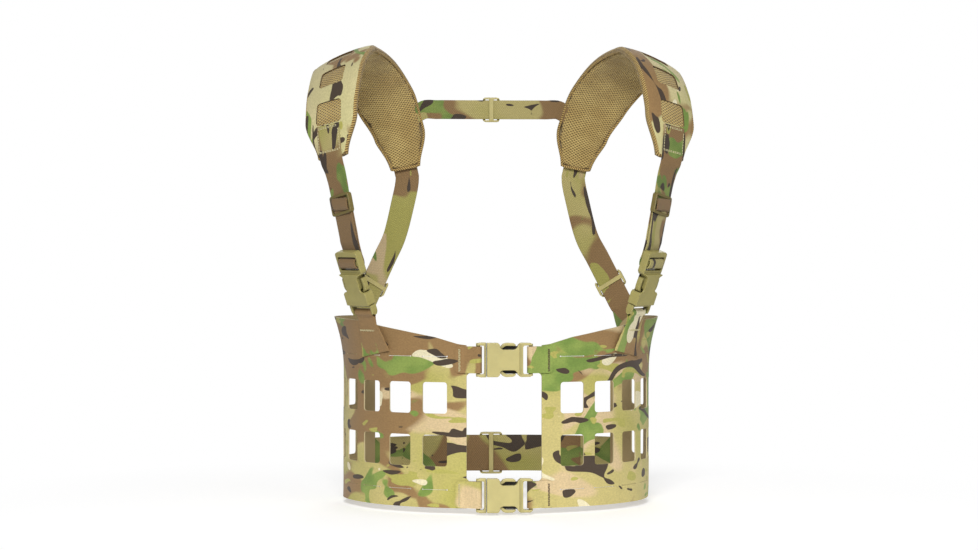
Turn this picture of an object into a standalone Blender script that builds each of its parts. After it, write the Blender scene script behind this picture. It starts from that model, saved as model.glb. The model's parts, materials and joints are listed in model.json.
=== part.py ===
"""Split-front harness vest: laminate front panels, padded shoulder yoke, webbing, side-release buckles.

Units are metres, +Z is up, the wearer faces -Y, and +X is the viewer's right.
"Left" and "right" are the viewer's. Z = 0 is the lowest point, and the Z axis passes through
the middle of the bounding box.
"""
import math
from collections import namedtuple
from functools import lru_cache
from types import SimpleNamespace

import bmesh
import bpy
import numpy as np
from mathutils import Matrix, Vector

# ------------------------------------------------------------------ shared dimensions
MM = 0.001
SIDES = ((-1, "left"), (1, "right"))
ORIGIN_SHIFT = (0.0, 0.01905, 0.0038)   # centres the vest on Z and rests it on Z = 0

LAMINATE = 1.5 * MM       # laminate sheet thickness
WEB = 1.4 * MM            # webbing thickness
WEB_WIDTH = 25.0 * MM
GAP = 0.3 * MM            # clearance between neighbouring pieces
CUT_OVER = 2.0 * MM       # how far a cutter runs past the face it opens

# base colour and roughness
MATERIALS = {
    "laminate": ((0.42, 0.36, 0.18, 1.0), 0.85),
    "lining": ((0.38, 0.27, 0.11, 1.0), 0.95),
    "webbing": ((0.24, 0.17, 0.06, 1.0), 0.9),
    "buckle": ((0.42, 0.36, 0.16, 1.0), 0.45),
}

# ------------------------------------------------------------------ scene set-up
for old in list(bpy.data.objects):
    bpy.data.objects.remove(old, do_unlink=True)


def new_collection(name):
    collection = bpy.data.collections.get(name) or bpy.data.collections.new(name)
    if collection.name not in bpy.context.scene.collection.children:
        bpy.context.scene.collection.children.link(collection)
    return collection


PARTS = new_collection("harness_vest")
CUTTERS = new_collection("cutters")

ORIGIN = bpy.data.objects.new("vest_origin", None)
ORIGIN.location = ORIGIN_SHIFT
PARTS.objects.link(ORIGIN)


def publish(obj, kind, parent=None):
    """Gives a piece its material and hangs it from a joint's empty, or from the vest's origin."""
    obj.parent = parent or ORIGIN
    colour, roughness = MATERIALS[kind]
    material = bpy.data.materials.new(obj.name + "_" + kind)
    material.use_nodes = True
    shader = material.node_tree.nodes["Principled BSDF"]
    shader.inputs["Base Color"].default_value = colour
    shader.inputs["Roughness"].default_value = roughness
    obj.data.materials.append(material)


def mesh_object(name, bm):
    mesh = bpy.data.meshes.new(name)
    bm.to_mesh(mesh)
    bm.free()
    obj = bpy.data.objects.new(name, mesh)
    PARTS.objects.link(obj)
    return obj


def pivot(name, location):
    """An empty on a joint, which its moving pieces hang from."""
    empty = bpy.data.objects.new(name, None)
    empty.location = location
    empty.parent = ORIGIN
    empty.empty_display_size = 0.01
    PARTS.objects.link(empty)
    bpy.context.view_layer.update()     # makes matrix_local current for the pieces
    return empty


def frame_matrix(along, normal, origin):
    """A frame with X along, Z on the normal and Y across."""
    matrix = Matrix((along, normal.cross(along), normal)).transposed().to_4x4()
    matrix.translation = origin
    return matrix


def square_to(normal, along):
    """The normal with its component along a direction taken out."""
    return (normal - along * normal.dot(along)).normalized()


# ------------------------------------------------------------------ body section
# Two half ellipses, front and back, that widen towards the chest.
WAIST_HALF_WIDTH = 0.153
CHEST_FLARE = 0.0095      # extra half width at the panels' top edge
CHEST_START = 0.128       # height where the flare begins
CHEST_RISE = 0.052        # height over which it reaches CHEST_FLARE
CHEST_LIMIT = 1.3         # multiple of CHEST_RISE where the flare stops growing
FRONT_DEPTH = 0.140       # centre to front
BACK_DEPTH = 0.100        # centre to back
ANGLES = np.linspace(0.0, math.pi, 1441)    # from the front centre to the back centre


def half_width(z):
    t = min(max(0.0, z - CHEST_START) / CHEST_RISE, CHEST_LIMIT)
    return WAIST_HALF_WIDTH + CHEST_FLARE * t * t


@lru_cache(maxsize=None)
def arc_table(half):
    """Arc distance from the front centre at each of ANGLES."""
    x = half * np.sin(ANGLES)
    depth = np.where(ANGLES < math.pi / 2, FRONT_DEPTH, BACK_DEPTH)
    y = -depth * np.cos(ANGLES)
    return np.concatenate([[0.0], np.cumsum(np.hypot(np.diff(x), np.diff(y)))])


def body_point(s, z, out=0.0):
    """The point at arc distance s from the front centre (negative to the left) and height z."""
    half = half_width(z)
    angle = float(np.interp(abs(s), arc_table(half), ANGLES))
    depth = FRONT_DEPTH if angle < math.pi / 2 else BACK_DEPTH
    x, y = half * math.sin(angle), -depth * math.cos(angle)
    normal_x, normal_y = x / half ** 2, y / depth ** 2
    size = math.hypot(normal_x, normal_y)
    side = 1.0 if s >= 0 else -1.0
    return Vector((side * (x + out * normal_x / size), y + out * normal_y / size, z))


def body_normal(s, z):
    return (body_point(s, z, 0.01) - body_point(s, z)).normalized()


# ------------------------------------------------------------------ sheets
# A window is (u0, u1, v0, v1, corner radius) in a sheet's own coordinates.
def lines(values):
    """Sorted grid lines without repeats."""
    out = []
    for value in sorted(values):
        if not out or value - out[-1] > 1e-6:
            out.append(value)
    return out


def window_lines(windows, axis):
    """Grid lines at the windows' edges and at the ends of their rounded corners."""
    out = []
    for window in windows:
        low, high, radius = window[2 * axis], window[2 * axis + 1], window[4]
        out += [low, high]
        if radius > 0:
            out += [low + radius, high - radius]
    return out


def corner_line(centre, low, high, radius):
    """The corner's inner grid line and the way to its edge, or None between the corners."""
    if centre < low + radius:
        return low + radius, -1.0
    if centre > high - radius:
        return high - radius, 1.0
    return None


def window_cells(bm, uv, windows):
    """Lists the cells to remove for the windows, and moves points in to round their corners."""
    removed = []
    for face in bm.faces:
        centre_u = sum(uv[vert][0] for vert in face.verts) / len(face.verts)
        centre_v = sum(uv[vert][1] for vert in face.verts) / len(face.verts)
        for u0, u1, v0, v1, radius in windows:
            if not (u0 < centre_u < u1 and v0 < centre_v < v1):
                continue
            corner_u = corner_line(centre_u, u0, u1, radius)
            corner_v = corner_line(centre_v, v0, v1, radius)
            if corner_u and corner_v:
                # the corner cell stays; its inner point goes to the middle of the corner's arc
                (line_u, sign_u), (line_v, sign_v) = corner_u, corner_v
                reach = radius * math.sqrt(0.5)
                for vert in face.verts:
                    u, v = uv[vert]
                    if abs(u - line_u) < 1e-6 and abs(v - line_v) < 1e-6:
                        uv[vert] = (line_u + sign_u * reach, line_v + sign_v * reach)
            else:
                removed.append(face)
            break
    return removed


def sheet(name, kind, us, vs, place, thickness, windows=(), flip=False, hinge=None):
    """A grid over us x vs laid on a surface by place(u, v), thickened evenly to both sides."""
    columns, rows = len(us) - 1, len(vs) - 1
    bm = bmesh.new()
    bmesh.ops.create_grid(bm, x_segments=columns, y_segments=rows, size=1.0)
    uv = {}
    for vert in bm.verts:
        i = int(round((vert.co.x + 1.0) / 2.0 * columns))
        j = int(round((vert.co.y + 1.0) / 2.0 * rows))
        uv[vert] = (us[i], vs[j])
    removed = window_cells(bm, uv, windows)
    to_local = hinge.matrix_local.inverted() if hinge else Matrix()
    for vert, (u, v) in uv.items():
        vert.co = to_local @ place(u, v)
    bmesh.ops.delete(bm, geom=removed, context="FACES")
    loose = [vert for vert in bm.verts if not vert.link_faces]
    if loose:
        bmesh.ops.delete(bm, geom=loose, context="VERTS")
    if flip:
        bmesh.ops.reverse_faces(bm, faces=bm.faces[:])
    obj = mesh_object(name, bm)
    modifier = obj.modifiers.new("thickness", "SOLIDIFY")
    modifier.thickness = thickness
    modifier.offset = 0.0
    modifier.use_even_offset = True
    publish(obj, kind, hinge)


def webbing_strip(name, points, acrosses, vs, hinge):
    """Webbing folded through points, each with its own direction across."""
    def place(i, v):
        return points[i] + acrosses[i] * (v * WEB_WIDTH / 2)

    sheet(name, "webbing", range(len(points)), vs, place, WEB, hinge=hinge)


# ------------------------------------------------------------------ paths for straps and pads
Station = namedtuple("Station", "point along normal across width")


class Path:
    """A path through control points, each with an outward normal and a width."""

    STEPS = 24      # samples between neighbouring control points

    def __init__(self, points, normals, widths=None, straight=False):
        controls = [Vector(p) for p in points]
        normals = [Vector(n).normalized() for n in normals]
        widths = widths or [WEB_WIDTH] * len(controls)
        sampled_points, sampled_normals, sampled_widths = [], [], []
        for i, (p1, p2) in enumerate(zip(controls, controls[1:])):
            p0 = controls[i - 1] if i > 0 else p1 * 2 - p2
            p3 = controls[i + 2] if i + 2 < len(controls) else p2 * 2 - p1
            for k in range(self.STEPS):
                t = k / self.STEPS
                if straight:
                    point = p1.lerp(p2, t)
                else:   # Catmull-Rom
                    point = 0.5 * ((2 * p1) + (p2 - p0) * t
                                   + (2 * p0 - 5 * p1 + 4 * p2 - p3) * t * t
                                   + (3 * p1 - p0 - 3 * p2 + p3) * t ** 3)
                ease = t * t * (3 - 2 * t)
                sampled_points.append(point)
                sampled_normals.append(normals[i].lerp(normals[i + 1], t).normalized())
                sampled_widths.append(widths[i] * (1 - ease) + widths[i + 1] * ease)
        self.points = np.array([list(p) for p in sampled_points + [controls[-1]]])
        self.normals = np.array([list(n) for n in sampled_normals + [normals[-1]]])
        self.widths = np.array(sampled_widths + [widths[-1]])
        spans = np.linalg.norm(np.diff(self.points, axis=0), axis=1)
        self.distances = np.concatenate([[0.0], np.cumsum(spans)])
        self.length = float(self.distances[-1])
        # distance along the path at each control point
        self.knots = [float(d) for d in self.distances[::self.STEPS]]

    def sample(self, u, table):
        return np.array([np.interp(u, self.distances, table[:, k]) for k in range(3)])

    def at(self, u):
        u = min(max(u, 0.0), self.length)
        reach = min(0.0006, self.length / 50)   # half the span the direction is taken over
        ahead = self.sample(min(self.length, u + reach), self.points)
        behind = self.sample(max(0.0, u - reach), self.points)
        along = Vector((ahead - behind).tolist()).normalized()
        normal = square_to(Vector(self.sample(u, self.normals).tolist()), along)
        point = Vector(self.sample(u, self.points).tolist())
        width = float(np.interp(u, self.distances, self.widths))
        return Station(point, along, normal, along.cross(normal).normalized(), width)

    def frame(self, u):
        """A matrix at distance u: X along the path, Y across, Z outward."""
        station = self.at(u)
        return frame_matrix(station.along, station.normal, station.point)

    def steps(self, size):
        """Even distances along the path, at most size apart."""
        count = max(2, int(math.ceil(self.length / size)) + 1)
        return [self.length * i / (count - 1) for i in range(count)]


def strap(name, path, us):
    """Flat webbing along a path."""
    def place(u, v):
        station = path.at(u)
        return station.point + station.across * (v * station.width / 2)

    sheet(name, "webbing", us, [-1.0, 1.0], place, WEB)


# ------------------------------------------------------------------ moulded pieces
def adopt_primitive(name, matrix, collection):
    """Names the primitive just added, shapes its mesh by matrix and moves it to a collection."""
    obj = bpy.context.active_object
    obj.name = name
    obj.data.transform(matrix)
    for old_collection in list(obj.users_collection):
        old_collection.objects.unlink(obj)
    collection.objects.link(obj)
    return obj


def box(name, low, high, collection):
    """A box between two corners."""
    bpy.ops.mesh.primitive_cube_add(size=1.0)
    low, high = Vector(low), Vector(high)
    matrix = Matrix.Translation((low + high) / 2) @ Matrix.Diagonal((*(high - low), 1.0))
    return adopt_primitive(name, matrix, collection)


def boolean(obj, tool, operation):
    tool.hide_render = True
    tool.display_type = "WIRE"
    tool.parent = obj
    modifier = obj.modifiers.new(operation.lower(), "BOOLEAN")
    modifier.operation = operation
    modifier.solver = "EXACT"
    modifier.object = tool


def cut(obj, suffix, low, high):
    """Cuts a box out of a piece."""
    boolean(obj, box(obj.name + "_cut_" + suffix, low, high, CUTTERS), "DIFFERENCE")


def add_bar(obj, x, z, half_length):
    """Adds a round webbing bar along Y."""
    bpy.ops.mesh.primitive_cylinder_add(vertices=20, radius=BAR_RADIUS, depth=2 * half_length)
    matrix = Matrix.Translation((x, 0, z)) @ Matrix.Rotation(math.pi / 2, 4, "X")
    boolean(obj, adopt_primitive(obj.name + "_bar", matrix, CUTTERS), "UNION")


def outline(name, loop, z0, z1):
    """A flat outline extruded from z0 to z1."""
    curve = bpy.data.curves.new(name, "CURVE")
    curve.dimensions = "2D"
    curve.fill_mode = "BOTH"
    curve.extrude = (z1 - z0) / 2
    spline = curve.splines.new("POLY")
    spline.points.add(len(loop) - 1)
    for point, (x, y) in zip(spline.points, loop):
        point.co = (x, y, 0.0, 1.0)
    spline.use_cyclic_u = True
    curve_object = bpy.data.objects.new(name + "_curve", curve)
    bpy.context.scene.collection.objects.link(curve_object)
    bpy.context.view_layer.update()
    depsgraph = bpy.context.evaluated_depsgraph_get()
    mesh = bpy.data.meshes.new_from_object(curve_object.evaluated_get(depsgraph))
    bpy.data.objects.remove(curve_object, do_unlink=True)
    bm = bmesh.new()
    bm.from_mesh(mesh)
    bpy.data.meshes.remove(mesh)
    bmesh.ops.remove_doubles(bm, verts=bm.verts, dist=1e-5)
    bmesh.ops.translate(bm, verts=bm.verts, vec=(0, 0, (z0 + z1) / 2))
    bmesh.ops.recalc_face_normals(bm, faces=bm.faces)
    return mesh_object(name, bm)


def place_moulding(obj, matrix, parent):
    """Publishes a moulded piece at a matrix given in the vest's own frame."""
    publish(obj, "buckle", parent)
    obj.matrix_local = parent.matrix_local.inverted() @ matrix


# ------------------------------------------------------------------ side-release buckles
# A buckle's frame: X from the plug half to the socket half, Y across, Z outward from the rear face.
BUCKLE_THICK = 10.5 * MM
BAR_RADIUS = 2.0 * MM
NECK_RATIO = 0.52         # the socket's neck as a share of its half height
SLOT_HALF = 0.0136        # half length of the webbing slots, along Y
MOUTH_WALL_Y = 0.0022     # walls round the mouth's hollow
MOUTH_WALL_Z = 0.0019
TAIL_TOP = 0.0073         # the tail is thinner than the mouth
BASE_BOTTOM = 0.0009
PRONG_BOTTOM = 0.0027
PLUG_TOP = 0.0078         # outer face of the plug's base and prongs
SHOULDER_PLATE = 0.0019   # plate of the base that the prongs start from
BASE_SETBACK = 0.0005     # base to mouth
PRONG_SETBACK = 0.0002    # prong root to mouth
EAR_START = 0.0127        # prong root to where its latch ear starts

FRONT_BAR_X = 25.2 * MM   # both webbing bars of a front buckle, either side of the centre
FRONT_BAR_Y = -0.1423
FRONT_BUCKLE_BACK = -0.1388     # y of the front buckles' rear face

FRONT_BUCKLE = SimpleNamespace(
    half=16.6 * MM, mouth=(-0.0170, -0.0053), neck_end=0.0120, tail=(0.0128, 0.0272),
    slots=[(0.0177, 0.0300)], socket_bar_x=FRONT_BAR_X, prong_tip=0.0118, base_start=-0.0272,
    bar_x=-FRONT_BAR_X, bar_z=FRONT_BUCKLE_BACK - FRONT_BAR_Y)
SHOULDER_BUCKLE = SimpleNamespace(
    half=16.4 * MM, mouth=(0.0, 0.0130), neck_end=0.0300, tail=(0.0310, 0.0545),
    slots=[(0.0355, 0.0400), (0.0445, 0.0490)], socket_bar_x=None, prong_tip=0.0292,
    base_start=-0.0112, bar_x=-0.0092, bar_z=3.6 * MM)


def build_socket(name, size):
    """The socket half: a full-height mouth, a narrow neck and a flared tail with slots."""
    half = size.half
    neck = half * NECK_RATIO
    (mouth0, mouth1), (tail0, tail1) = size.mouth, size.tail
    upper = [(tail1, half - 0.004), (tail1 - 0.003, half - 0.0008), (tail0 + 0.004, half),
             (tail0 + 0.0004, half - 0.0015), (tail0 - 0.0012, neck + 0.0012),
             (size.neck_end - 0.004, neck), (mouth1 + 0.0005, neck), (mouth1, half - 0.0008),
             (mouth1 - 0.0015, half), (mouth0, half)]
    loop = upper + [(x, -y) for x, y in reversed(upper)]
    obj = outline(name, loop, 0.0, BUCKLE_THICK)
    # the hollow is open at the mouth's face and runs on into the neck
    cut(obj, "mouth", (mouth0 - CUT_OVER, -half + MOUTH_WALL_Y, MOUTH_WALL_Z),
        (mouth1 + 0.004, half - MOUTH_WALL_Y, BUCKLE_THICK - MOUTH_WALL_Z))
    cut(obj, "tail", (tail0 + 0.001, -half - CUT_OVER, TAIL_TOP),
        (tail1 + CUT_OVER, half + CUT_OVER, BUCKLE_THICK + CUT_OVER))
    for k, (x0, x1) in enumerate(size.slots):
        cut(obj, "slot%d" % k, (x0, -SLOT_HALF, -CUT_OVER), (x1, SLOT_HALF, BUCKLE_THICK + CUT_OVER))
    if size.socket_bar_x is not None:
        add_bar(obj, size.socket_bar_x, size.bar_z, half - 0.0012)
    return obj


def build_plug_base(name, size):
    """The base of the plug half: two rails joined by the shoulder plate and the webbing bar."""
    x0, x1 = size.base_start, size.mouth[0] - BASE_SETBACK
    obj = box(name, (x0, -size.half, BASE_BOTTOM), (x1, size.half, PLUG_TOP), PARTS)
    cut(obj, "slot", (x0 - CUT_OVER, -SLOT_HALF, -CUT_OVER),
        (x1 - SHOULDER_PLATE, SLOT_HALF, BUCKLE_THICK + CUT_OVER))
    add_bar(obj, size.bar_x, size.bar_z, size.half - 0.0005)
    return obj


def build_prong(name, size, up):
    """One spring arm with its latch ear; up is +1 or -1 along Y."""
    half, tip = size.half, size.prong_tip
    root = size.mouth[0] - PRONG_SETBACK
    ear = root + EAR_START
    points = [(root, 0.0085), (ear + 0.002, 0.0100), (tip - 0.001, half * NECK_RATIO + 0.0010),
              (tip, half * NECK_RATIO + 0.0022), (tip - 0.0015, half - 0.0022),
              (tip - 0.006, half - 0.0004), (ear + 0.0045, half - 0.0004),
              (ear + 0.0022, half - 0.0018), (ear + 0.0005, half - 0.0040), (root, 0.0124)]
    return outline(name, [(x, y * up) for x, y in points], PRONG_BOTTOM, PLUG_TOP)


def build_buckle(name, size, matrix, socket_parent, prong_words):
    """A whole buckle; prong_words name the prongs on its +Y and -Y sides."""
    place_moulding(build_socket(name + "_female", size), matrix, socket_parent)
    bar = matrix @ Vector((size.bar_x, 0, size.bar_z))
    plug_pivot = pivot(name + "_male_pivot", bar)
    place_moulding(build_plug_base(name + "_male_base", size), matrix, plug_pivot)
    for up, word in zip((1, -1), prong_words):
        prong_name = "%s_%s_prong" % (name, word)
        root = matrix @ Vector((size.mouth[0] - PRONG_SETBACK, 0.0105 * up, 0.0052))
        prong_pivot = pivot(prong_name + "_pivot", root)
        place_moulding(build_prong(prong_name, size, up), matrix, prong_pivot)


# ------------------------------------------------------------------ strap sliders
SLIDER_RAIL = 4.2 * MM          # strap edge to the slider's side
SLIDER_SIDE_GAP = 0.9 * MM      # strap edge to the rail
SLIDER_FACE_GAP = 0.4 * MM      # strap face to the bars
SLIDER_RISE = 3.0 * MM          # strap face to the slider's outer face
SLIDER_DROP = 2.8 * MM          # strap face to its rear face
SLIDER_END_BAR = 3.2 * MM
SLIDER_MIDDLE_HALF = 2.4 * MM   # half the middle bar's length along the strap


def slider(name, matrix, strap_width, length):
    """A three-bar slide on a straight strap: end bars outside the strap, the middle bar behind it."""
    side = strap_width / 2 + SLIDER_RAIL
    inner = strap_width / 2 + SLIDER_SIDE_GAP
    top = WEB / 2 + SLIDER_RISE
    bottom = -WEB / 2 - SLIDER_DROP
    channel = WEB / 2 + SLIDER_FACE_GAP
    opening = length / 2 - SLIDER_END_BAR
    obj = box(name, (-length / 2, -side, bottom), (length / 2, side, top), PARTS)
    cut(obj, "strap", (-length, -inner, -channel), (length, inner, channel))
    cut(obj, "front", (-opening, -inner, 0.0), (opening, inner, top + CUT_OVER))
    cut(obj, "rear_a", (-length, -inner, bottom - CUT_OVER), (-SLIDER_MIDDLE_HALF, inner, 0.0))
    cut(obj, "rear_b", (SLIDER_MIDDLE_HALF, -inner, bottom - CUT_OVER), (length, inner, 0.0))
    place_moulding(obj, matrix, pivot(name + "_pivot", matrix.translation))


# ------------------------------------------------------------------ front panels
PANEL_INNER = 36.0 * MM   # arc distance from the front centre to the inner edge
PANEL_OUTER = 300.0 * MM  # arc distance to the rear edge
WINDOW_WIDTH = 25.0 * MM
WINDOW_HEIGHT = 30.0 * MM
WINDOW_PITCH = 38.1 * MM
WINDOW_FIRST = 55.0 * MM
WINDOW_COLUMNS = 6
WINDOW_RADIUS = 3.0 * MM
WINDOW_ROWS = (0.0395, 0.0900)
SLIT_LEVELS = (0.0167, 0.1442)
SLIT = 1.0 * MM
TOP_BAND_BASE = SLIT_LEVELS[1] + SLIT   # grid lines above this stretch to the top edge
PANEL_GRID_TOP = 0.155                  # grid line that becomes the top edge

# top edge: arc distance, height
PANEL_TOP = [(0.036, 0.1555), (0.044, 0.1565), (0.067, 0.1630), (0.103, 0.1693),
             (0.130, 0.1735), (0.150, 0.1780), (0.235, 0.1810), (0.300, 0.1810)]

WINDOW_STARTS = [WINDOW_FIRST + k * WINDOW_PITCH for k in range(WINDOW_COLUMNS)]


def panel_windows():
    windows = []
    for u0 in WINDOW_STARTS:
        u1 = u0 + WINDOW_WIDTH
        windows += [(u0, u1, z, z + WINDOW_HEIGHT, WINDOW_RADIUS) for z in WINDOW_ROWS]
        windows += [(u0, u1, z, z + SLIT, 0.0) for z in SLIT_LEVELS]
    return windows


def build_panel(name, side, hinge):
    windows = panel_windows()
    us = lines(window_lines(windows, 0) + [u0 + WINDOW_WIDTH / 2 for u0 in WINDOW_STARTS]
               + [PANEL_INNER, 0.041, 0.046, 0.281, 0.291, PANEL_OUTER])
    vs = lines(window_lines(windows, 1)
               + [0.0, 0.0265, CHEST_START, 0.136, 0.1476, 0.1500, 0.1525, PANEL_GRID_TOP])

    def place(u, z):
        if z > TOP_BAND_BASE:
            top = float(np.interp(u, *zip(*PANEL_TOP)))
            share = (z - TOP_BAND_BASE) / (PANEL_GRID_TOP - TOP_BAND_BASE)
            z = TOP_BAND_BASE + (top - TOP_BAND_BASE) * share
        return body_point(side * u, z, LAMINATE / 2)

    sheet(name, "laminate", us, vs, place, LAMINATE, windows, flip=side < 0, hinge=hinge)


# Folded tabs round the front buckles' bars: name, lower edge, upper edge
TABS = (("top", 0.1290, 0.1545), ("bottom", 0.0005, 0.0260))
TAB_TURN = (-70, -95, -120, -145, -170, -195, -220, -245, -262)   # degrees round the bar
TAB_BAR_GAP = GAP + 0.1 * MM
LEAF_OUT = LAMINATE + GAP + LAMINATE / 2    # middle of a leaf lying on the panel


def build_tab(name, side, z0, z1, hinge):
    """Front leaf on the panel, round the bar, rear leaf back to the panel's edge."""
    z = (z0 + z1) / 2
    radius = BAR_RADIUS + TAB_BAR_GAP + LAMINATE / 2
    points = [body_point(0.0465, z, LEAF_OUT), body_point(0.0405, z, LEAF_OUT),
              body_point(0.0365, z, 2.75 * MM)]
    for angle in map(math.radians, TAB_TURN):
        points.append(Vector((FRONT_BAR_X + radius * math.cos(angle),
                              FRONT_BAR_Y + radius * math.sin(angle), z)))
    points += [body_point(0.0315, z, 0.8 * MM), body_point(0.03545, z, LAMINATE / 2)]

    def place(i, height):
        return Vector((side * points[i].x, points[i].y, height))

    sheet(name, "laminate", range(len(points)), [z0, z1], place, LAMINATE,
          flip=side < 0, hinge=hinge)


PANEL_HINGES = {}
for side, word in SIDES:
    rear_edge = body_point(side * PANEL_OUTER, 0.08, LAMINATE / 2)
    PANEL_HINGES[word] = pivot(word + "_panel_pivot", rear_edge)
    build_panel(word + "_front_panel", side, PANEL_HINGES[word])
    for level, z0, z1 in TABS:
        build_tab("%s_%s_tab" % (word, level), side, z0, z1, PANEL_HINGES[word])

# ------------------------------------------------------------------ front buckles
FRONT_BUCKLE_LEVELS = {"bottom": 0.0128, "top": 0.1418}

for level, z in FRONT_BUCKLE_LEVELS.items():
    matrix = frame_matrix(Vector((1, 0, 0)), Vector((0, -1, 0)), (0.0, FRONT_BUCKLE_BACK, z))
    socket_pivot = pivot(level + "_buckle_female_pivot", (FRONT_BAR_X, FRONT_BAR_Y, z))
    build_buckle(level + "_buckle", FRONT_BUCKLE, matrix, socket_pivot, ("upper", "lower"))

# ------------------------------------------------------------------ shoulder pads
# Right pad from its front end over the shoulder to its rear end: point, outward normal, width
PAD_STATIONS = [
    ((0.163, -0.098, 0.336), (0.50, -0.84, 0.10), 0.030),
    ((0.166, -0.088, 0.375), (0.52, -0.80, 0.30), 0.055),
    ((0.163, -0.066, 0.412), (0.55, -0.55, 0.62), 0.060),
    ((0.156, -0.030, 0.4360), (0.42, -0.22, 0.88), 0.062),
    ((0.148, 0.010, 0.4405), (0.35, 0.04, 0.93), 0.062),
    ((0.131, 0.050, 0.430), (0.32, 0.35, 0.88), 0.062),
    ((0.112, 0.080, 0.405), (0.25, 0.68, 0.68), 0.060),
    ((0.097, 0.098, 0.372), (0.18, 0.88, 0.40), 0.052),
    ((0.090, 0.106, 0.335), (0.10, 0.97, 0.15), 0.030),
]
PAD_FULL_WIDTH = 0.062
PAD_CROWN = 3.0 * MM            # how far the edges drop at full width
PAD_LINING = 6.0 * MM           # lining thickness
PAD_SHELL_OUT = 4.15 * MM       # middle of the shell above the middle of the lining
PAD_WINDOW = 24.0 * MM          # window length along the pad
PAD_WINDOW_HALF = 14.0 * MM     # half the windows' width across it
PAD_WINDOW_FIRST = 0.045
PAD_WINDOW_PITCH = 0.043
PAD_WINDOW_COUNT = 6
PAD_STEPS = 26
PAD_LINE_CLEARANCE = 0.004      # even grid lines nearer than this to a window edge are left out
PAD_WEBBING = (0.0005, 0.0305)  # start and length of the webbing at the pad's front end
PAD_WEBBING_STEPS = 4


def flipped(point, side):
    return (side * point[0], point[1], point[2])


def crowned(station, y, out):
    """A point y across a pad, on a surface that sags towards the edges."""
    sag = PAD_CROWN * (2 * y / PAD_FULL_WIDTH) ** 2
    return station.point + station.across * y + station.normal * (out - sag)


def build_pad(word, path):
    mids = [PAD_WINDOW_FIRST + k * PAD_WINDOW_PITCH for k in range(PAD_WINDOW_COUNT)]
    windows = [(mid - PAD_WINDOW / 2, mid + PAD_WINDOW / 2, -1.0, 1.0, 0.0) for mid in mids]
    edges = window_lines(windows, 0)
    even = [path.length * i / PAD_STEPS for i in range(PAD_STEPS + 1)]
    us = lines(edges + [u for u in even
                        if min(abs(u - edge) for edge in edges) > PAD_LINE_CLEARANCE])
    # v from -1 to 1 spans the windows' width; beyond that it runs out to the pad's edge
    vs = [-2.0, -1.5, -1.0, 0.0, 1.0, 1.5, 2.0]

    def surface(out):
        def place(u, v):
            station = path.at(u)
            y = PAD_WINDOW_HALF * abs(v)
            if abs(v) > 1:
                y = PAD_WINDOW_HALF + (station.width / 2 - PAD_WINDOW_HALF) * (abs(v) - 1)
            return crowned(station, math.copysign(y, v), out)
        return place

    sheet(word + "_pad_shell", "laminate", us, vs, surface(PAD_SHELL_OUT), LAMINATE, windows)
    sheet(word + "_pad_lining", "lining", us, vs, surface(0.0), PAD_LINING)


def build_pad_webbing(word, path):
    """Webbing sewn over the pad's front end."""
    def place(u, v):
        out = PAD_SHELL_OUT + LAMINATE / 2 + GAP + WEB / 2
        return crowned(path.at(u), v * WEB_WIDTH / 2, out)

    start, length = PAD_WEBBING
    us = [start + length * i / PAD_WEBBING_STEPS for i in range(PAD_WEBBING_STEPS + 1)]
    sheet(word + "_shoulder_webbing", "webbing", us, [-1.0, 0.0, 1.0], place, WEB)


PADS = {}
for side, word in SIDES:
    points, normals, widths = zip(*PAD_STATIONS)
    PADS[word] = Path([flipped(p, side) for p in points], [flipped(n, side) for n in normals],
                      widths)
    build_pad(word, PADS[word])
    build_pad_webbing(word, PADS[word])

# ------------------------------------------------------------------ shoulder buckles and front straps
SHOULDER_TAB_S = 0.1435                       # arc distance of the tab's middle
SHOULDER_BAR_HEIGHT = 0.1865                  # webbing bar's height
SHOULDER_BAR_OUT = 4.2 * MM                   # and its distance outside the body
SHOULDER_AXIS = (0.280, -0.250, 0.946)        # up along the right strap
SHOULDER_FACING = (0.77, -0.64, 0.0)          # rough outward direction on the right
SHOULDER_TAB_TURN = (-140, -105, -70, -35, 0, 35, 70, 105, 140)   # degrees round the bar
SHOULDER_TAB_HEIGHTS = (0.150, 0.158, 0.166, 0.1735)
SHOULDER_TAB_BAR_GAP = GAP + 0.15 * MM
TAB_INNER_LEAF = 2.55 * MM                    # leaves' distances outside the body
TAB_OUTER_LEAF = 4.35 * MM

# Front strap round the socket's tail, in the buckle's frame: x, z in millimetres
STRAP_IN_TAIL = [(60.0, -1.35), (53.0, -1.35), (50.0, -1.35), (47.8, -0.6), (46.8, 1.5),
                 (46.7, 6.4), (45.2, 8.35), (39.3, 8.35), (37.8, 6.4), (37.8, 1.0), (37.8, -1.0)]
STRAP_SHARES = (0.0, 0.10, 0.21, 0.55, 0.8)   # points on the straight run from the pad
STRAP_UNDER_PAD = 0.004                       # how far the strap starts beyond the pad's end
FRONT_SLIDER_SHARE = 0.52
FRONT_SLIDER_LENGTH = 0.020


def shoulder_matrix(side):
    """Local X up along the strap, Y across, Z outward."""
    axis = Vector(flipped(SHOULDER_AXIS, side)).normalized()
    normal = square_to(Vector(flipped(SHOULDER_FACING, side)), axis)
    bar = body_point(side * SHOULDER_TAB_S, SHOULDER_BAR_HEIGHT, SHOULDER_BAR_OUT)
    origin = bar - axis * SHOULDER_BUCKLE.bar_x - normal * SHOULDER_BUCKLE.bar_z
    return frame_matrix(axis, normal, origin)


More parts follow.
